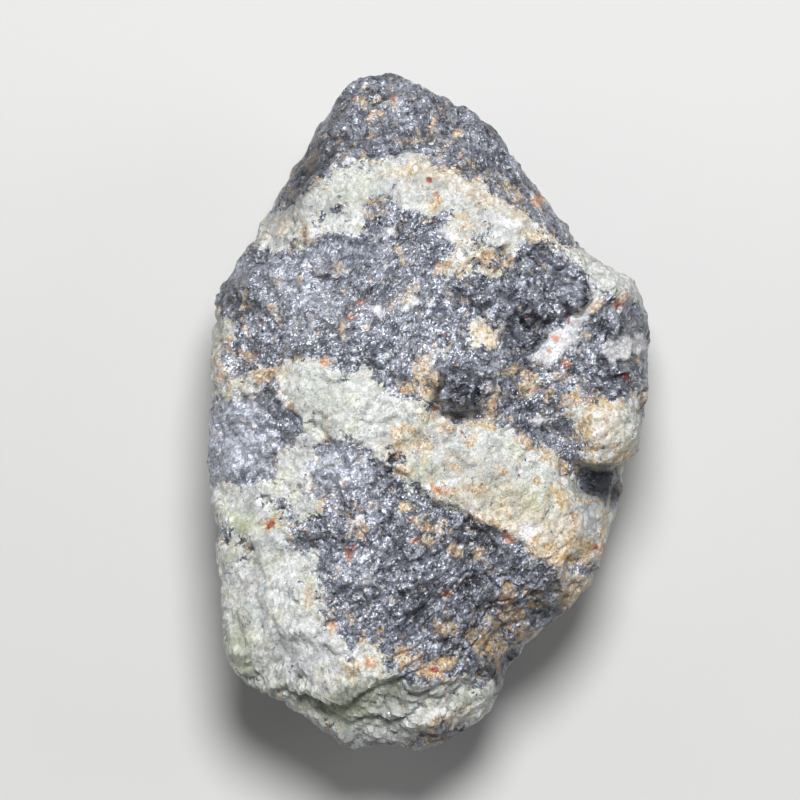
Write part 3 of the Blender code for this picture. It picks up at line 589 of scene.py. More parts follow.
OCHRE_SPOTS = (
    (358, 96, 10, 8, 20), (377, 112, 8, 5, -40), (412, 166, 4, 7, 0), (436, 202, 6, 11, -10),
    (502, 204, 4, 4, 0), (459, 220, 9, 8, 0), (473, 242, 8, 7, 30), (443, 267, 11, 9, 10),
    (507, 250, 8, 6, 0), (532, 237, 12, 8, -20), (311, 152, 9, 7, 40), (291, 192, 6, 5, 30),
    (294, 250, 7, 8, 30), (339, 273, 5, 11, -30), (401, 256, 5, 6, 0), (244, 300, 4, 13, 0),
    (278, 284, 5, 7, 20), (274, 311, 3, 9, 15), (218, 362, 9, 14, 0), (232, 391, 16, 5, 12),
    (262, 374, 8, 8, 30), (246, 356, 14, 6, 10), (425, 376, 8, 26, 12), (487, 336, 15, 12, 0),
    (529, 387, 17, 15, 10), (490, 404, 10, 18, 0), (576, 399, 19, 12, 5), (594, 309, 6, 9, -20),
    (586, 336, 5, 5, 0), (406, 388, 8, 7, 0), (399, 432, 9, 8, 0), (412, 429, 9, 9, 0),
    (440, 424, 20, 6, -8), (398, 448, 6, 8, 0), (438, 490, 18, 9, -25), (478, 489, 9, 7, 20),
    (558, 498, 11, 12, 20), (562, 470, 6, 9, 20), (536, 541, 10, 5, 0), (576, 549, 26, 13, 8),
    (620, 455, 22, 9, 12), (608, 415, 9, 6, 0), (308, 590, 5, 14, 10), (330, 623, 10, 7, -30),
    (343, 640, 4, 5, 0), (374, 658, 9, 11, -10), (352, 672, 8, 8, 30), (431, 533, 14, 12, 20),
    (350, 525, 6, 14, 10), (366, 530, 10, 8, 0), (366, 507, 9, 5, 0), (505, 596, 10, 10, 20),
    (533, 594, 12, 6, 12), (508, 619, 20, 14, 10), (490, 645, 18, 22, 20), (446, 626, 12, 10, 0),
    (405, 655, 13, 16, 0), (432, 668, 18, 10, 10), (444, 679, 15, 4, 15), (572, 593, 17, 12, 40),
    (525, 640, 12, 16, -30), (455, 552, 9, 6, 0), (478, 556, 6, 6, 0), (315, 492, 12, 4, 20),
    (338, 486, 9, 4, 20), (269, 524, 12, 7, 0), (406, 468, 9, 8, 0), (500, 525, 14, 7, 10),
    (412, 138, 10, 4, 0), (438, 128, 4, 9, -30), (458, 133, 5, 4, 0), (346, 148, 4, 6, 0),
    (338, 137, 2, 5, 0), (450, 716, 5, 10, -10), (440, 727, 16, 5, 0), (470, 708, 9, 4, -30),
    (386, 672, 9, 5, 20), (395, 100, 9, 5, 0), (514, 190, 18, 4, -28), (538, 200, 12, 5, -30),
    (557, 233, 4, 3, 0), (638, 361, 5, 4, 0), (412, 291, 5, 8, -20), (396, 303, 9, 5, 10),
    (342, 330, 3, 9, -20), (329, 360, 7, 6, 0), (308, 361, 5, 5, 0), (220, 375, 6, 8, 0),
    (226, 340, 5, 8, 0), (244, 332, 5, 9, 0), (600, 400, 14, 5, 0), (404, 505, 10, 5, 0),
    (420, 520, 10, 5, 20), (440, 118, 3, 12, -28), (452, 138, 3, 12, -32),
    (424, 137, 10, 2.4, -14), (404, 84, 3, 8, -50), (372, 90, 9, 3, -30), (470, 158, 12, 3, -36),
    (492, 172, 14, 3, -36), (482, 196, 12, 4, -30), (466, 228, 10, 6, 0), (484, 262, 12, 10, 0),
    (590, 440, 12, 14, 0), (604, 462, 18, 6, 8), (582, 424, 10, 12, 0), (318, 128, 3, 12, 28),
    (302, 158, 3, 14, 30), (284, 184, 3, 10, 34), (262, 216, 3, 9, 34), (440, 722, 16, 7, 0),
    (556, 560, 14, 6, 10), (484, 424, 22, 5, -6), (520, 440, 16, 5, -40), (548, 460, 12, 6, -45),
    (466, 438, 12, 6, -10), (592, 500, 12, 5, -20), (608, 532, 7, 16, 0), (592, 556, 18, 8, 10),
    (536, 548, 16, 5, -25), (576, 522, 6, 12, 0), (612, 464, 24, 6, 0), (576, 430, 6, 18, -10),
    (504, 470, 9, 6, -20), (452, 466, 10, 5, -30), (424, 446, 12, 7, -20), (500, 508, 10, 6, -30),
    (546, 394, 12, 8, 0), (562, 378, 12, 6, 0), (516, 372, 10, 6, 20),
)
GOLDEN_SPOTS = (
    (564, 506, 5, 12, 0), (604, 520, 5, 13, 0), (580, 552, 22, 6, 8), (545, 542, 20, 4, 0),
    (512, 592, 9, 8, 0), (352, 672, 6, 7, 0), (460, 268, 14, 5, 20), (480, 640, 12, 14, 20),
    (446, 662, 16, 5, 10), (626, 452, 18, 5, 12), (576, 470, 6, 7, 0), (300, 283, 5, 6, 0),
    (433, 375, 4, 12, 12), (240, 300, 3, 9, 0), (520, 634, 10, 8, -30), (500, 664, 10, 8, 0),
    (455, 216, 6, 4, 0), (556, 498, 5, 14, 20), (546, 489, 13, 4, -12), (596, 462, 22, 5, 8),
    (586, 436, 7, 10, 0), (540, 606, 12, 6, 10), (570, 600, 12, 7, 40), (466, 300, 8, 4, 0),
    (560, 494, 8, 16, 0), (572, 540, 16, 7, 0), (478, 516, 8, 5, 0), (596, 552, 10, 8, 0),
    (538, 478, 7, 5, -30), (484, 426, 14, 4, -6), (610, 466, 18, 4, 0), (630, 462, 14, 5, 20),
    (614, 404, 18, 4, 0),
)
RUST_SPOTS = (
    (391, 94, 5, 4, 0), (348, 127, 4, 2, 0), (367, 132, 4, 2, 0), (538, 193, 8, 3, -30),
    (262, 323, 2, 5, 0), (351, 319, 5, 5, 0), (328, 360, 5, 6, 20), (363, 301, 5, 4, 0),
    (556, 341, 4, 3, 30), (548, 352, 3, 3, 0), (536, 388, 7, 3, 0), (232, 391, 4, 3, 0),
    (370, 663, 7, 4, 10), (334, 626, 4, 3, 0), (350, 552, 5, 9, -25), (375, 544, 3, 4, 0),
    (448, 590, 7, 4, 20), (507, 601, 4, 5, 0), (621, 305, 8, 5, 0), (566, 362, 6, 6, 0),
    (268, 522, 4, 4, 0), (455, 682, 4, 3, 0), (438, 271, 3, 3, 0), (238, 358, 4, 7, 0),
    (412, 520, 3, 2, 0), (444, 490, 8, 4, 0), (600, 548, 7, 5, 0), (508, 540, 4, 5, 0),
)
ZINCITE_SPOTS = (
    (429, 180, 4, 2, 10), (482, 201, 4, 2, 0), (447, 333, 2, 3, 0), (478, 270, 2, 2, 0),
    (606, 300, 4, 2, 0), (566, 323, 2, 4, 0), (630, 379, 3, 4, 0), (217, 515, 2, 3, 0),
    (269, 524, 2, 3, 0), (261, 562, 3, 1.6, 40), (246, 593, 5, 2, -30), (229, 604, 2, 3, 0),
    (218, 584, 1.6, 3, 0), (262, 693, 2, 2, 0), (363, 735, 8, 1.4, 0), (444, 691, 3, 1.6, 0),
    (451, 700, 2.4, 1.8, 0), (455, 710, 2, 2, 0), (547, 556, 3.4, 3, 20), (536, 557, 2.6, 2.6, 0),
    (458, 431, 2.4, 4, 0), (435, 408, 2, 3, 0), (428, 387, 1.6, 2.6, 0), (527, 319, 3.4, 2.4, 0),
    (584, 444, 2, 3, 0), (364, 312, 2, 2, 0), (505, 533, 2.4, 2.4, 0), (412, 541, 4, 2, 0),
    (486, 567, 2, 2.6, 0), (435, 666, 3, 2, 0), (508, 606, 3, 1.6, 0), (599, 547, 3, 3, 0),
)

# Broad tints: middle, half sizes, turn and strength.
GREEN_TINTS = (
    (232, 513, 12, 5, 0, 0.7), (245, 526, 14, 7, 10, 0.9), (225, 558, 6, 6, 0, 0.8),
    (236, 640, 9, 26, -12, 0.4), (246, 668, 9, 9, 0, 0.6), (217, 350, 6, 10, 0, 0.3),
    (268, 562, 12, 10, 0, 0.5), (260, 700, 30, 20, 0, 0.3), (340, 715, 30, 20, 0, 0.5),
    (380, 700, 40, 24, 10, 0.5), (540, 500, 26, 22, 0, 0.22), (420, 470, 16, 14, 0, 0.3),
    (330, 400, 30, 24, 0, 0.35), (500, 495, 40, 22, -20, 0.3), (470, 700, 20, 14, 20, 0.4),
    (620, 438, 12, 12, 0, 0.2), (345, 195, 24, 16, 0, 0.3), (240, 650, 26, 36, 0, 0.2),
)
GREY_TINTS = (
    (386, 185, 18, 14, 0, 0.55), (441, 187, 5, 4, 0, 0.8), (282, 641, 18, 14, 0, 0.2),
    (266, 540, 11, 11, 0, 0.7), (587, 507, 9, 8, 0, 0.7), (577, 529, 4, 11, -20, 0.6),
    (322, 386, 10, 8, 0, 0.5), (285, 212, 20, 9, 28, 0.35), (330, 205, 34, 26, 0, 0.2),
    (465, 468, 50, 26, -20, 0.3), (488, 214, 50, 20, -28, 0.25), (320, 668, 16, 12, 0, 0.1),
    (590, 525, 10, 16, 0, 0.45), (505, 470, 14, 8, 0, 0.35), (400, 700, 30, 9, 15, 0.4),
    (330, 735, 14, 8, 0, 0.5), (440, 738, 22, 10, 0, 0.5), (494, 700, 8, 22, 15, 0.5),
    (345, 745, 40, 10, 0, 0.5), (380, 720, 64, 16, 8, 0.35), (258, 470, 8, 4, 0, 0.4),
    (512, 505, 8, 14, 10, 0.5), (250, 505, 10, 6, 0, 0.2), (600, 500, 10, 6, 0, 0.5),
)
CREAM_TINTS = (
    (450, 470, 60, 26, -20, 0.5), (530, 520, 60, 24, -20, 0.9), (604, 425, 44, 30, 0, 0.5),
    (480, 195, 70, 16, -28, 0.6), (560, 245, 40, 14, -32, 0.5), (470, 262, 34, 20, 0, 0.7),
    (400, 172, 50, 10, 0, 0.6), (285, 225, 30, 12, 28, 0.6), (244, 380, 30, 16, 0, 0.6),
    (352, 670, 40, 16, 20, 0.6), (270, 365, 20, 14, 0, 0.6), (580, 590, 40, 24, 0, 1.0),
    (425, 385, 14, 26, 0, 0.9), (485, 334, 22, 18, 0, 0.7), (520, 545, 50, 8, -18, 0.8),
    (450, 725, 40, 10, 0, 0.5), (395, 450, 14, 16, 0, 0.7), (255, 500, 30, 9, 0, 0.3),
)
# Painted light (over 0) and painted shade (under 0): lit crystal tops and faces, shadows under
# lumps, ledges and crystals, darker steep sides and rims, mixed with lighter and darker patches of
# the franklinite's own tone.
PAINTED_LIGHT_SHADE_AND_TONE = (
    (310, 300, 46, 46, 0, 0.75), (240, 440, 36, 44, 0, 0.9), (330, 468, 30, 30, 0, 0.7),
    (400, 275, 44, 24, 0, 0.3), (390, 330, 60, 34, 0, 0.3), (350, 250, 50, 12, 0, 0.3),
    (380, 560, 50, 34, 0, 0.25), (523, 330, 24, 17, 0, -0.8), (458, 390, 26, 22, 0, -0.4),
    (360, 725, 84, 22, 5, -0.2), (300, 695, 26, 5, -14, -0.4), (610, 472, 18, 5, 0, -0.7),
    (600, 484, 24, 13, -10, -1.1), (548, 612, 24, 20, 40, -0.45), (474, 627, 22, 12, 10, -0.5),
    (640, 410, 8, 16, 0, -0.5), (400, 528, 18, 14, 0, -0.25), (430, 512, 14, 10, 0, -0.25),
    (540, 577, 26, 12, -10, -0.45), (520, 400, 30, 18, -40, -0.25), (345, 692, 22, 8, 10, -0.8),
    (500, 680, 10, 22, 15, -0.7), (424, 600, 14, 20, -45, -0.4), (430, 640, 10, 6, 0, -0.2),
    (570, 430, 10, 30, 20, -0.35), (640, 330, 14, 60, 0, -0.25), (220, 300, 12, 60, 0, -0.3),
    (505, 640, 36, 30, -40, -0.3), (620, 350, 30, 44, 0, -0.25), (308, 165, 15, 52, -30, -1.0),
    (385, 71, 34, 7, 0, -0.7), (400, 751, 70, 7, 0, -0.6), (455, 737, 28, 9, -12, -0.9),
    (622, 491, 26, 12, 0, -1.0), (583, 305, 14, 3.5, 52, -1.3), (567, 308, 10, 3, -67, -1.0),
    (574, 290, 11, 5, 10, 1.0), (443, 392, 18, 4, 68, 1.0), (434, 392, 12, 3, 60, -1.0),
    (477, 392, 16, 4, 84, -1.0), (460, 413, 20, 3.5, 0, -1.4), (480, 120, 60, 22, -40, -0.25),
    (380, 700, 60, 10, 5, -0.35), (405, 688, 24, 6, 10, -0.5), (560, 512, 60, 36, -25, -0.1),
    (330, 208, 40, 26, 0, -0.1), (485, 212, 60, 20, -28, -0.12), (605, 435, 34, 26, 0, -0.1),
    (279, 228, 14, 16, 0, -0.12), (460, 465, 46, 26, -30, -0.1), (300, 662, 48, 34, 10, 0.8),
    (262, 596, 40, 34, 0, 0.4), (330, 398, 34, 30, 0, 0.4), (372, 718, 60, 16, 0, 0.25),
    (576, 590, 24, 18, 30, -0.25), (556, 612, 16, 12, 40, -0.35),
)
# Where the franklinite is powdery, without its gloss.
DUSTY_PLACES = (
    (240, 440, 40, 44, 0, 1.0), (326, 466, 28, 26, 0, 0.9), (345, 248, 44, 10, 0, 0.4),
    (300, 556, 30, 12, 0, 0.5), (345, 575, 24, 20, 0, 0.4), (500, 560, 30, 12, 20, 0.3),
)
# Where the franklinite is coarse: crystals with wide faces, dark and glassy.
COARSE_PLACES = (
    (530, 325, 34, 28, 0, 0.95), (458, 390, 26, 26, 0, 1.2), (575, 298, 16, 16, 0, 1.2),
    (612, 378, 36, 24, 0, 0.9), (468, 532, 34, 20, 25, 0.8), (410, 548, 28, 28, 0, 0.5),
    (470, 600, 36, 26, 0, 0.6), (545, 612, 24, 22, 0, 0.9), (446, 642, 26, 20, 0, 0.8),
    (622, 495, 22, 14, 0, 0.9), (540, 430, 24, 22, 0, 0.7), (395, 235, 30, 14, 0, 0.6),
    (600, 330, 24, 24, 0, 0.7), (500, 660, 24, 24, 0, 0.8), (370, 385, 34, 10, 10, 0.6),
    (430, 300, 30, 20, 0, 0.4), (455, 735, 30, 12, 0, 1.0), (230, 540, 14, 12, 0, 0.7),
)

# How the pattern is read: it is stirred, and below the outline's level it leans and wanders.
STIRS = ((3.4, 1.1, 71, 81), (1.6, 0.5, 72, 82))  # size, reach, and the seeds along X and Y
DEEP_LEAN = (0.32, 0.22)  # how far the minerals lean for each millimetre of depth below the edge
DEEP_WARP = (24.0, 9.0, 61, 67)  # size, reach and seeds
DEEP_START = 33.5  # below this height other bodies take over from the drawn ones
DEEP_FADE = 12.0
DEEP_BODIES = ((30.0, 9.0, 101), (13.0, 4.0, 102))
DEEP_STAIN_LOSS = 3.0  # stains and zincite grow fewer down the sides
DEEP_SPOT_LOSS = 2.0
# how much the painted light and shade fade out below the outline's level
DEEP_PAINTED_LIGHT_LOSS = 0.85
DEEPEST = 5.0  # depths inside a body count up to here
PALE_EDGE = 0.5  # how far out of a pale body its smoother break starts


def picture_place(points):
    """Return where the minerals' pattern is read for each point, in pixels: straight above it,
    and below the outline's level moved by a lean and a slow waviness that grow with depth."""
    depth = np.maximum(OUTLINE_LEVEL - points[:, 2], 0.0)
    size, reach, *seeds = DEEP_WARP
    growth = np.minimum(depth / OUTLINE_LEVEL, 1.0) * reach
    moved = []
    for axis, lean in enumerate(DEEP_LEAN):
        place = points[:, axis] + lean * depth + growth * waves(points, size, seeds[axis])
        for stir_size, stir_reach, *stir_seeds in STIRS:
            place += stir_reach * waves(points, stir_size, stir_seeds[axis])
        moved.append(place / PIXEL)
    return np.column_stack((PICTURE_ORIGIN[0] + moved[0], PICTURE_ORIGIN[1] - moved[1]))


def inside_bodies(place, bodies):
    """Return how deep each place lies inside the nearest of the many-sided bodies, in
    millimetres, under 0 outside: the distance to the nearest side, with its sign from counting
    the sides that a line to the right crosses."""
    deepest = np.full(len(place), -np.inf)
    for body in bodies:
        distance = beside_path(place, body + body[:1])[0]
        crossings = np.zeros(len(place), int)
        for start, end in zip(body, body[1:] + body[:1]):
            spans = (place[:, 1] < start[1]) != (place[:, 1] < end[1])
            rise = end[1] - start[1] if end[1] != start[1] else 1.0
            meets = start[0] + (place[:, 1] - start[1]) / rise * (end[0] - start[0])
            crossings += spans & (place[:, 0] < meets)
        deepest = np.maximum(deepest, np.where(crossings % 2 == 1, distance, -distance))
    return deepest * PIXEL


def inside_spots(place, spots):
    """Return how deep each place lies inside the nearest rounded spot, in millimetres: the
    spot's smaller half size times (1 - distance in half sizes)."""
    deepest = np.full(len(place), -np.inf)
    for x, y, wide, tall, turn in spots:
        across, along = turned(place, (x, y), -turn)
        away = np.hypot(across / wide, along / tall)
        deepest = np.maximum(deepest, min(wide, tall) * (1 - away))
    return deepest * PIXEL


def tint(place, tints):
    """Return the sum of soft tints, each strength * exp(-r^2)."""
    total = np.zeros(len(place))
    for x, y, wide, tall, turn, strength in tints:
        across, along = turned(place, (x, y), -turn)
        total += strength * np.exp(-((across / wide) ** 2) - (along / tall) ** 2)
    return total


def minerals_at(points):
    """Return how deep each point lies in each mineral and stain, in millimetres, and how strong
    the tints are there. Down the sides, bodies of slow noise replace the drawn ones."""
    place = picture_place(points)
    deep = np.clip((DEEP_START - points[:, 2]) / DEEP_FADE, 0.0, 1.0)
    willemite = inside_bodies(place, WILLEMITE)
    willemite = np.minimum(willemite, -inside_spots(place, FRANKLINITE_SPOTS))
    willemite = np.clip(willemite, -DEEPEST, DEEPEST) * (1 - deep)
    willemite += summed(waves, points, DEEP_BODIES) * deep
    return {
        "willemite": willemite,
        "calcite": np.maximum(inside_bodies(place, CALCITE), inside_spots(place, CALCITE_SPOTS)),
        "ochre": inside_spots(place, OCHRE_SPOTS) - DEEP_STAIN_LOSS * deep,
        "golden": inside_spots(place, GOLDEN_SPOTS) - DEEP_SPOT_LOSS * deep,
        "rust": inside_spots(place, RUST_SPOTS) - DEEP_SPOT_LOSS * deep,
        "zincite": inside_spots(place, ZINCITE_SPOTS) - DEEP_SPOT_LOSS * deep,
        "green": tint(place, GREEN_TINTS),
        "grey": tint(place, GREY_TINTS),
        "cream": tint(place, CREAM_TINTS),
        # painted light and shade, mixed with lighter and darker tone, fading out down the sides
        "painted_light_and_tone": tint(place, PAINTED_LIGHT_SHADE_AND_TONE) * (1.0 - DEEP_PAINTED_LIGHT_LOSS * below_outline(points[:, 2])),
        "coarse": np.clip(tint(place, COARSE_PLACES), 0.0, 1.0),
        "dusty": np.clip(tint(place, DUSTY_PLACES), 0.0, 1.0),
    }


def rock_points(rays):
    """Return the specimen's surface along each ray, and the minerals there. The broken body is
    moved along its normals by the front's relief, the waves and the grains."""
    points, normals = broken_body(rays)
    front = np.clip((points[:, 2] - FRONT_LEVEL) / FRONT_FADE, 0.0, 1.0)
    front *= np.clip(normals[:, 2] * FRONT_STEEPNESS, 0.0, 1.0)
    grains = summed(broken_grains, points, GRAINS)
    out = front * front_relief(points) + summed(waves, points, WAVES) + grains
    points = fitted_to_outline(points + normals * out[:, None])
    minerals = minerals_at(points)
    fine = summed(lumpy_grains, points, LUMPY_GRAINS) + summed(waves, points, FINE_WAVES)
    fine += summed(broken_grains, points, FINE_GRAINS)
    for length, width, turn, depth, seed in FURROWS:
        fine += depth * furrows(points, length, width, turn, seed)
    # Painted shade in the hollows of the fine relief: the deeper a point lies in them, the darker
    # its colour is painted.
    painted_hollow_shade = -(fine + HOLLOW_GRAINS * grains)
    minerals["painted_hollow_shade"] = painted_hollow_shade - np.median(painted_hollow_shade)
    pale = np.maximum(minerals["willemite"], minerals["calcite"])
    pale = np.clip(pale + PALE_EDGE, 0.0, 1.0)
    start, fade, rougher = UNDER_FACE
    under = np.clip((start - points[:, 1]) / fade, 0.0, 1.0)
    rough = 1.0 - (1.0 - WILLEMITE_ROUGHNESS - rougher * under) * pale
    level = np.clip(SIDE_STEEPNESS * normals[:, 2], 0.0, 1.0)
    rough *= SIDE_SMOOTHNESS + (1.0 - SIDE_SMOOTHNESS) * level
    points += normals * (fine * rough)[:, None]
    points[:, 2] = np.maximum(points[:, 2], 0.0)
    return points, minerals


rays, cells, last_ring = drum_grid()
points, minerals = rock_points(rays)
rock_mesh = bpy.data.meshes.new("ore_rock_surface")
rock_mesh.from_pydata(points * MM, [], cells.tolist() + [last_ring.tolist()])
for name, values in minerals.items():
    layer = rock_mesh.attributes.new(name, "FLOAT", "POINT")
    layer.data.foreach_set("value", np.clip(values, -DEEPEST, DEEPEST).astype(np.float32))
rock_mesh.update()
rock = bpy.data.objects.new("ore_rock_surface", rock_mesh)
bpy.context.scene.collection.objects.link(rock)

rock_material = bpy.data.materials.new("willemite_and_franklinite")
rock_material.use_nodes = True
nodes = rock_material.node_tree.nodes
links = rock_material.node_tree.links
shader = nodes["Principled BSDF"]

# Grains seen in the stone, in millimetres, from the lumps that grains grow in down to sugar.
LUMP = 2.8
BLOCK = 1.9
CRYSTAL = 1.0
GRAIN = 0.42
SUGAR = 0.23
CRUMB = 0.15  # height of the crumbs on the grains
STIR = (1.6, 0.9)  # size and reach of the stir that makes the grains' sides uneven
BLOCK_STIR = 0.35  # blocks have straighter sides

# Franklinite, from its dark faces to painted glints of faces that catch the light, and what lies
# between them.
FRANKLINITE_TONES_AND_PAINTED_GLINTS = (
    (0.22, (0.10, 0.108, 0.135)), (0.5, (0.285, 0.302, 0.355)), (0.80, (0.62, 0.66, 0.76)),
)
FRANKLINITE_JOINT = (0.06, 0.064, 0.078)
# painted shade of pits between the franklinite's crystals
FRANKLINITE_PAINTED_PIT_SHADE = (0.035, 0.037, 0.046)
# painted shade in the hollows of the franklinite
FRANKLINITE_PAINTED_HOLLOW_SHADE = (0.05, 0.053, 0.066)
# painted shade of pits where the franklinite is coarse
COARSE_PAINTED_PIT_SHADE = (0.035, 0.036, 0.042)

# Willemite and calcite.
WILLEMITE_GREY_GREEN = (0.40, 0.43, 0.40)
WILLEMITE_MILKY = (0.635, 0.645, 0.645)
WILLEMITE_DULL = (0.44, 0.455, 0.42)
WILLEMITE_YELLOW_GREEN = (0.60, 0.61, 0.36)
WILLEMITE_CREAM = (0.66, 0.52, 0.32)
WILLEMITE_DARKEST = (0.22, 0.235, 0.225)
WILLEMITE_WHITEST = (0.92, 0.93, 0.92)
WILLEMITE_JOINT = (0.27, 0.265, 0.24)
# painted shade in the hollows of the willemite
WILLEMITE_PAINTED_HOLLOW_SHADE = (0.22, 0.21, 0.17)
GREEN_TINT = (0.36, 0.41, 0.22)
GREY_TINT = (0.24, 0.26, 0.29)
CALCITE_GREY = (0.54, 0.535, 0.56)
CALCITE_WHITE = (0.90, 0.90, 0.91)

# Stains, zincite, and the painted shade and painted light over all, mixed with darker and lighter
# tone.
OCHRE_BROWN = (0.42, 0.225, 0.085)
OCHRE_TAN = (0.70, 0.50, 0.26)
OCHRE_ORANGE = (0.60, 0.33, 0.17)
OCHRE_CREAM = (0.76, 0.66, 0.48)
OCHRE_GOLD = (0.64, 0.38, 0.09)
OCHRE_DARK = (0.17, 0.11, 0.06)
OCHRE_PALE = (0.86, 0.76, 0.56)
OCHRE_SPECK = (0.16, 0.12, 0.09)
RUST = (0.50, 0.17, 0.065)
ZINCITE_RED = (0.26, 0.05, 0.028)
# painted shade with darker tone where the painted light and shade is under 0, and painted light
# with paler tone where it is over 0
PAINTED_SHADE_AND_DARK_TONE = (0.03, 0.032, 0.04)
PAINTED_LIGHT_AND_PALE_TONE = (0.62, 0.65, 0.72)


def wired(kind, settings=(), **sockets):
    """Add a shader node, set its options, and fill its named or numbered sockets with numbers,
    colours or links."""
    node = nodes.new("ShaderNode" + kind)
    for name, value in dict(settings).items():
        setattr(node, name, value)
    for name, value in sockets.items():
        numbered = name[0] == "n" and name[1:].isdigit()
        socket = node.inputs[int(name[1:])] if numbered else node.inputs[name]
        if isinstance(value, bpy.types.NodeSocket):
            links.new(value, socket)
        elif socket.type == "RGBA":
            socket.default_value = (*value, 1.0)
        else:
            socket.default_value = value
    return node


def number(operation, first, second=0.0, third=0.0):
    """One step of arithmetic."""
    return wired("Math", {"operation": operation}, n0=first, n1=second, n2=third).outputs[0]


def plus(first, *others):
    """The sum of numbers."""
    for other in others:
        first = number("ADD", first, other)
    return first


def times(first, *others):
    """The product of numbers."""
    for other in others:
        first = number("MULTIPLY", first, other)
    return first


def minus(first, second):
    """The first number less the second."""
    return number("SUBTRACT", first, second)


def largest(first, *others):
    """The largest of numbers."""
    for other in others:
        first = number("MAXIMUM", first, other)
    return first


def line(value, slope, start):
    """A straight line: value * slope + start."""
    return number("MULTIPLY_ADD", value, slope, start)


def ramp(value, low, high, start=0.0, end=1.0):
    """A smooth rise or fall from start to end while the value goes from low to high."""
    settings = {"interpolation_type": "SMOOTHSTEP"}
    node = wired("MapRange", settings, n0=value, n1=low, n2=high, n3=start, n4=end)
    return node.outputs[0]


def blended(share, first, second):
    """The first colour turning into the second as the share goes from 0 to 1."""
    sockets = {"n0": share, "n6": first, "n7": second}
    return wired("Mix", {"data_type": "RGBA"}, **sockets).outputs[2]


def laid_over(colour, *coats):
    """A colour with others laid over it, each given as its share and itself."""
    for share, over in coats:
        colour = blended(share, colour, over)
    return colour


def vectors(operation, first, second=(0.0, 0.0, 0.0)):
    """One step of arithmetic on vectors."""
    return wired("VectorMath", {"operation": operation}, n0=first, n1=second).outputs[0]


def scaled(vector, amount):
    """A vector times this amount."""
    return wired("VectorMath", {"operation": "SCALE"}, n0=vector, n3=amount).outputs[0]


def seen(name):
    """How deep a point lies in one of the minerals, in millimetres, or how strong a tint is."""
    return wired("Attribute", {"attribute_name": name}).outputs["Fac"]


def cloud(size, detail=2.0, rough=0.5):
    """Soft noise from 0 to 1, with clouds of this many millimetres."""
    node = wired("TexNoise", Vector=place, Scale=1.0 / (size * MM), Detail=detail, Roughness=rough)
    return node.outputs["Fac"]


def grown(size, where):
    """Grains of this many millimetres: three random numbers and a random lean for each, and how
    far from its middle a point is."""
    node = wired("TexVoronoi", Vector=where, Scale=1.0 / (size * MM))
    numbers = wired("SeparateColor", n0=node.outputs["Color"]).outputs
    lean = vectors("SUBTRACT", node.outputs["Color"], (0.5, 0.5, 0.5))
    return numbers, lean, node.outputs["Distance"]


place = wired("TexCoord").outputs["Object"]
stir = wired("TexNoise", Vector=place, Scale=1.0 / (STIR[0] * MM), Detail=2.0).outputs["Color"]
stir = scaled(vectors("SUBTRACT", stir, (0.5, 0.5, 0.5)), STIR[1] * MM)
stirred = vectors("ADD", place, stir)
lump, lump_lean, _ = grown(LUMP, stirred)
crystal, crystal_lean, _ = grown(CRYSTAL, stirred)
grain, grain_lean, grain_middle = grown(GRAIN, stirred)
sugar, sugar_lean, _ = grown(SUGAR, stirred)
block, block_lean, _ = grown(BLOCK, vectors("ADD", place, scaled(stir, BLOCK_STIR)))
edge = wired("TexVoronoi", {"feature": "DISTANCE_TO_EDGE"}, Vector=stirred,
             Scale=1.0 / (CRYSTAL * MM))
joint = ramp(edge.outputs["Distance"], 0.0, 0.16, 1.0, 0.0)
coarse = seen("coarse")
dusty = seen("dusty")
# painted shade in the hollows of the fine relief
painted_hollow_shade = seen("painted_hollow_shade")
# painted light and shade, mixed with lighter and darker tone
painted_light_and_tone = seen("painted_light_and_tone")

# Which mineral a grain is: the drawn bodies with ragged edges, and strays of each in the other.
wander = times(minus(cloud(2.2, 4.0, 0.65), 0.5), 4.2)
pick = plus(times(crystal[0], 0.55), times(grain[0], 0.45))
willemite_depth = plus(seen("willemite"), wander)
willemite_share = ramp(willemite_depth, -1.3, 1.2, 0.14, 0.92)
willemite_share = minus(willemite_share, ramp(cloud(5.0), 0.5, 0.66, 0.0, 0.16))
is_willemite = ramp(minus(willemite_share, pick), -0.06, 0.06)
is_calcite = ramp(plus(seen("calcite"), times(wander, 0.5)), -0.4, 0.7, 0.0, 0.85)

# Franklinite: steel-dark crystals, each with its own tone up to painted glints, and finer grains
# over them. Where it is coarse, whole blocks have one tone.
haze = ramp(cloud(3.6, 3.0, 0.6), 0.34, 0.66)
# grain tones whose highest values are painted glints
tone_and_painted_light = plus(times(lump[0], 0.14), times(crystal[1], 0.20), times(grain[1], 0.22),
            times(sugar[0], 0.20), line(haze, 0.24, 0.01))
tone_and_painted_light = wired("Mix", n0=times(coarse, 0.55), n2=tone_and_painted_light, n3=times(block[1], 0.85)).outputs[0]
# the franklinite's tone is raised where painted light lies
tone_and_painted_light = plus(tone_and_painted_light, times(largest(painted_light_and_tone, 0.0), 0.2))
franklinite = wired("ValToRGB", n0=tone_and_painted_light)
steps = franklinite.color_ramp.elements
steps.new(FRANKLINITE_TONES_AND_PAINTED_GLINTS[1][0])
for step, (position, colour) in zip(steps, FRANKLINITE_TONES_AND_PAINTED_GLINTS):
    step.position = position
    step.color = (*colour, 1.0)
# Painted shade of pits: dark spots laid by noise, not by the relief, more where the franklinite is
# coarse and fewer where it is dusty.
painted_pit_shade = ramp(line(coarse, -0.05, cloud(1.5, 3.0, 0.65)), 0.35, 0.46, 0.8, 0.0)
painted_pit_shade = times(painted_pit_shade, line(dusty, -0.8, 1.0))
franklinite_colour = laid_over(
    franklinite.outputs["Color"],
    (times(joint, 0.45), FRANKLINITE_JOINT),
    (painted_pit_shade, FRANKLINITE_PAINTED_PIT_SHADE),
    (ramp(painted_hollow_shade, 0.15, 1.0, 0.0, 0.75), FRANKLINITE_PAINTED_HOLLOW_SHADE),
)

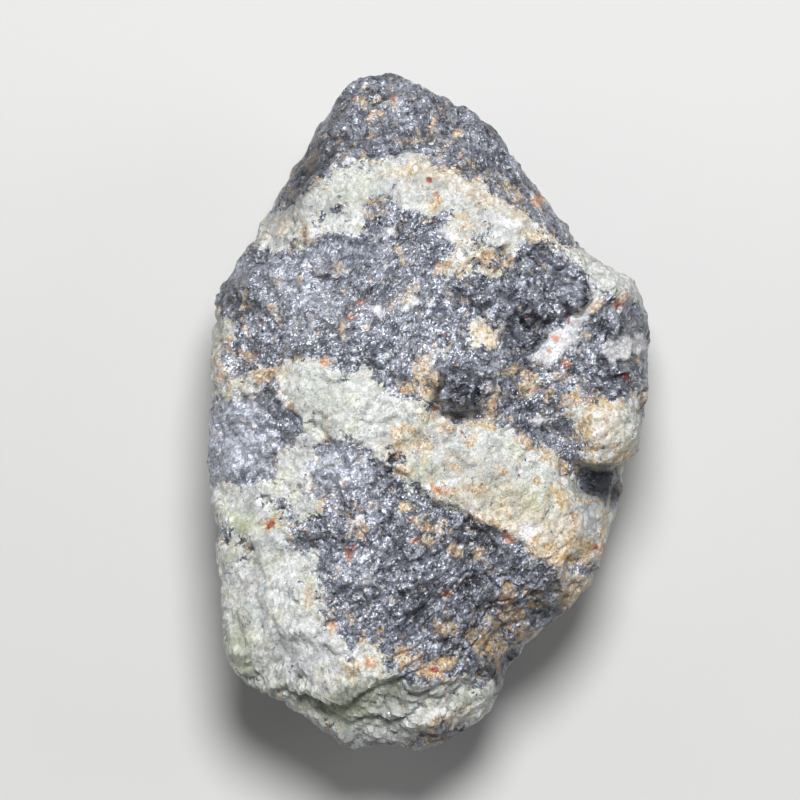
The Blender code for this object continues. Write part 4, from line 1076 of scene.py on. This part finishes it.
# Willemite: milky grains from grey-green to cream, darker where they meet, with painted shade in
# the hollows.
milk = plus(times(crystal[2], 0.4), times(grain[2], 0.3), times(sugar[2], 0.3))
creamy = plus(times(seen("cream"), 0.45), cloud(2.4, 4.0, 0.65))
pale = laid_over(
    blended(ramp(cloud(4.0, 4.0, 0.6), 0.38, 0.62), WILLEMITE_GREY_GREEN, WILLEMITE_MILKY),
    (ramp(lump[1], 0.35, 0.85, 0.0, 0.3), WILLEMITE_DULL),
    (ramp(lump[0], 0.84, 0.88, 0.0, 0.5), WILLEMITE_YELLOW_GREEN),
    (ramp(creamy, 0.57, 0.85, 0.0, 0.9), WILLEMITE_CREAM),
)
willemite_colour = laid_over(
    blended(0.38, pale, WILLEMITE_DARKEST),
    (ramp(milk, 0.22, 0.78), blended(0.5, pale, WILLEMITE_WHITEST)),
    (times(joint, 0.25), WILLEMITE_JOINT),
    (ramp(painted_hollow_shade, 0.25, 1.1, 0.0, 0.34), WILLEMITE_PAINTED_HOLLOW_SHADE),
    (times(seen("green"), 0.85), GREEN_TINT),
    (times(seen("grey"), 0.75), GREY_TINT),
)
calcite_colour = blended(ramp(milk, 0.25, 0.75), CALCITE_GREY, CALCITE_WHITE)

# Stains: cream, tan and golden between the grains, with much of the stone showing through.
soak = times(minus(cloud(2.2, 4.0, 0.7), 0.5), 6.5)
rim = minus(0.8, number("ABSOLUTE", willemite_depth))
rim = minus(rim, ramp(cloud(8.0), 0.35, 0.6, 0.0, 1.6))
stray = minus(times(cloud(2.6, 4.0, 0.7), 9.0), 5.5)
golden_depth = plus(number("MINIMUM", seen("golden"), 0.6), times(soak, 0.8))
ochre_depth = plus(number("MINIMUM", seen("ochre"), 0.7), soak)
ochre_depth = largest(ochre_depth, plus(rim, soak), stray, golden_depth)
chosen = plus(times(grain[1], 0.55), times(crystal[2], 0.45))
speckle = ramp(minus(ramp(ochre_depth, -0.9, 1.2, 0.0, 0.82), chosen), -0.14, 0.16)
ochre_strength = times(speckle, ramp(ochre_depth, -0.5, 1.3, 0.45, 0.86))
ochre_colour = laid_over(
    blended(ramp(cloud(2.6, 2.0), 0.36, 0.62), OCHRE_BROWN, OCHRE_TAN),
    (ramp(crystal[0], 0.55, 0.75, 0.0, 0.8), OCHRE_ORANGE),
    (ramp(grain[2], 0.4, 0.9, 0.0, 0.85), OCHRE_CREAM),
    (ramp(golden_depth, -0.4, 0.6, 0.0, 0.75), OCHRE_GOLD),
    (ramp(grain[0], 0.05, 0.4, 0.75, 0.0), OCHRE_DARK),
    (ramp(grain[0], 0.7, 0.95, 0.0, 0.7), OCHRE_PALE),
    (ramp(sugar[1], 0.6, 0.9, 0.0, 0.6), OCHRE_SPECK),
)
rust_depth = plus(number("MINIMUM", seen("rust"), 0.4), times(soak, 0.45))
rust_share = times(ramp(rust_depth, -0.2, 0.6, 0.0, 0.8), ramp(grain[2], 0.1, 0.5, 0.25, 1.0))
zincite_depth = plus(seen("zincite"), times(soak, 0.12))

links.new(laid_over(
    franklinite_colour,
    (is_willemite, willemite_colour),
    (is_calcite, calcite_colour),
    (ochre_strength, ochre_colour),
    # more painted shade of pits where the franklinite is coarse
    (times(painted_pit_shade, coarse, 0.55), COARSE_PAINTED_PIT_SHADE),
    (rust_share, RUST),
    (ramp(zincite_depth, -0.12, 0.15, 0.0, 0.9), ZINCITE_RED),
    # painted shade and painted light, mixed with darker and lighter tone
    (times(painted_light_and_tone, -0.8), PAINTED_SHADE_AND_DARK_TONE),
    (times(painted_light_and_tone, 0.30), PAINTED_LIGHT_AND_PALE_TONE),
), shader.inputs["Base Color"])

# Bare franklinite shines like metal, less where it is dusty.
shiny = times(minus(1.0, is_willemite), minus(1.0, is_calcite), minus(1.0, ochre_strength),
              line(dusty, -0.65, 1.0))
links.new(times(shiny, 0.5), shader.inputs["Metallic"])
links.new(ramp(shiny, 0.0, 1.0, 0.55, 0.36), shader.inputs["Roughness"])

# Each grain broke its own way, so each faces its own way.
tilt = vectors("ADD", scaled(lump_lean, 0.2), scaled(crystal_lean, 0.32))
tilt = vectors("ADD", tilt, vectors("ADD", scaled(grain_lean, 0.6), scaled(sugar_lean, 0.65)))
tilt = vectors("ADD", scaled(tilt, line(coarse, -0.45, 1.0)),
               scaled(block_lean, times(coarse, 0.95)))
tilt = scaled(tilt, line(shiny, 0.65, 0.35))
facing = wired("NewGeometry").outputs["Normal"]
facing = vectors("NORMALIZE", vectors("ADD", facing, tilt))
crumb = plus(times(grain_middle, -0.5), cloud(0.5, 3.0, 0.6))
bump = wired("Bump", Strength=0.6, Distance=CRUMB * MM, Height=crumb, Normal=facing)
links.new(bump.outputs["Normal"], shader.inputs["Normal"])

rock_mesh.materials.append(rock_material)
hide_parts("ore_rock")
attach(rock, "root")

# Floor and light
# A plain pale table top under the specimen, and soft studio light from close to the camera, a
# little from the upper right.

FLOOR_COLOUR = (0.60, 0.60, 0.595, 1.0)
FLOOR_ROUGHNESS = 0.9
FLOOR_HALF = 6.0
LAMPS = (
    ("key_softbox", (0.03, 0.38, 1.03), 0.36, 14.1),
    ("right_softbox", (0.90, 0.20, 0.60), 0.60, 1.6),
    ("left_softbox", (-0.80, 0.20, 0.60), 0.60, 0.8),
)
LIT_PLACE = (0.0, 0.0, 0.03)
WORLD_COLOUR = (1.0, 1.0, 1.0, 1.0)
WORLD_LIGHT = 0.13

floor_mesh = bpy.data.meshes.new("floor")
corners = [(x * FLOOR_HALF, y * FLOOR_HALF, 0.0) for x, y in ((-1, -1), (1, -1), (1, 1), (-1, 1))]
floor_mesh.from_pydata(corners, [], [(0, 1, 2, 3)])
floor = bpy.data.objects.new("floor", floor_mesh)
bpy.context.scene.collection.objects.link(floor)
floor_material = bpy.data.materials.new("pale_floor")
floor_material.use_nodes = True
floor_shader = floor_material.node_tree.nodes["Principled BSDF"]
floor_shader.inputs["Base Color"].default_value = FLOOR_COLOUR
floor_shader.inputs["Roughness"].default_value = FLOOR_ROUGHNESS
floor_mesh.materials.append(floor_material)

for name, spot, size, power in LAMPS:
    lamp_data = bpy.data.lights.new(name, "AREA")
    lamp_data.shape = "DISK"
    lamp_data.size = size
    lamp_data.energy = power
    lamp = bpy.data.objects.new(name, lamp_data)
    lamp.location = spot
    aim = Vector(LIT_PLACE) - Vector(spot)
    lamp.rotation_euler = aim.to_track_quat("-Z", "Y").to_euler()
    bpy.context.scene.collection.objects.link(lamp)

world = bpy.data.worlds.new("studio")
world.use_nodes = True
world.node_tree.nodes["Background"].inputs["Color"].default_value = WORLD_COLOUR
world.node_tree.nodes["Background"].inputs["Strength"].default_value = WORLD_LIGHT
bpy.context.scene.world = world
bpy.context.scene.view_settings.view_transform = "Standard"

bpy.context.view_layer.update()
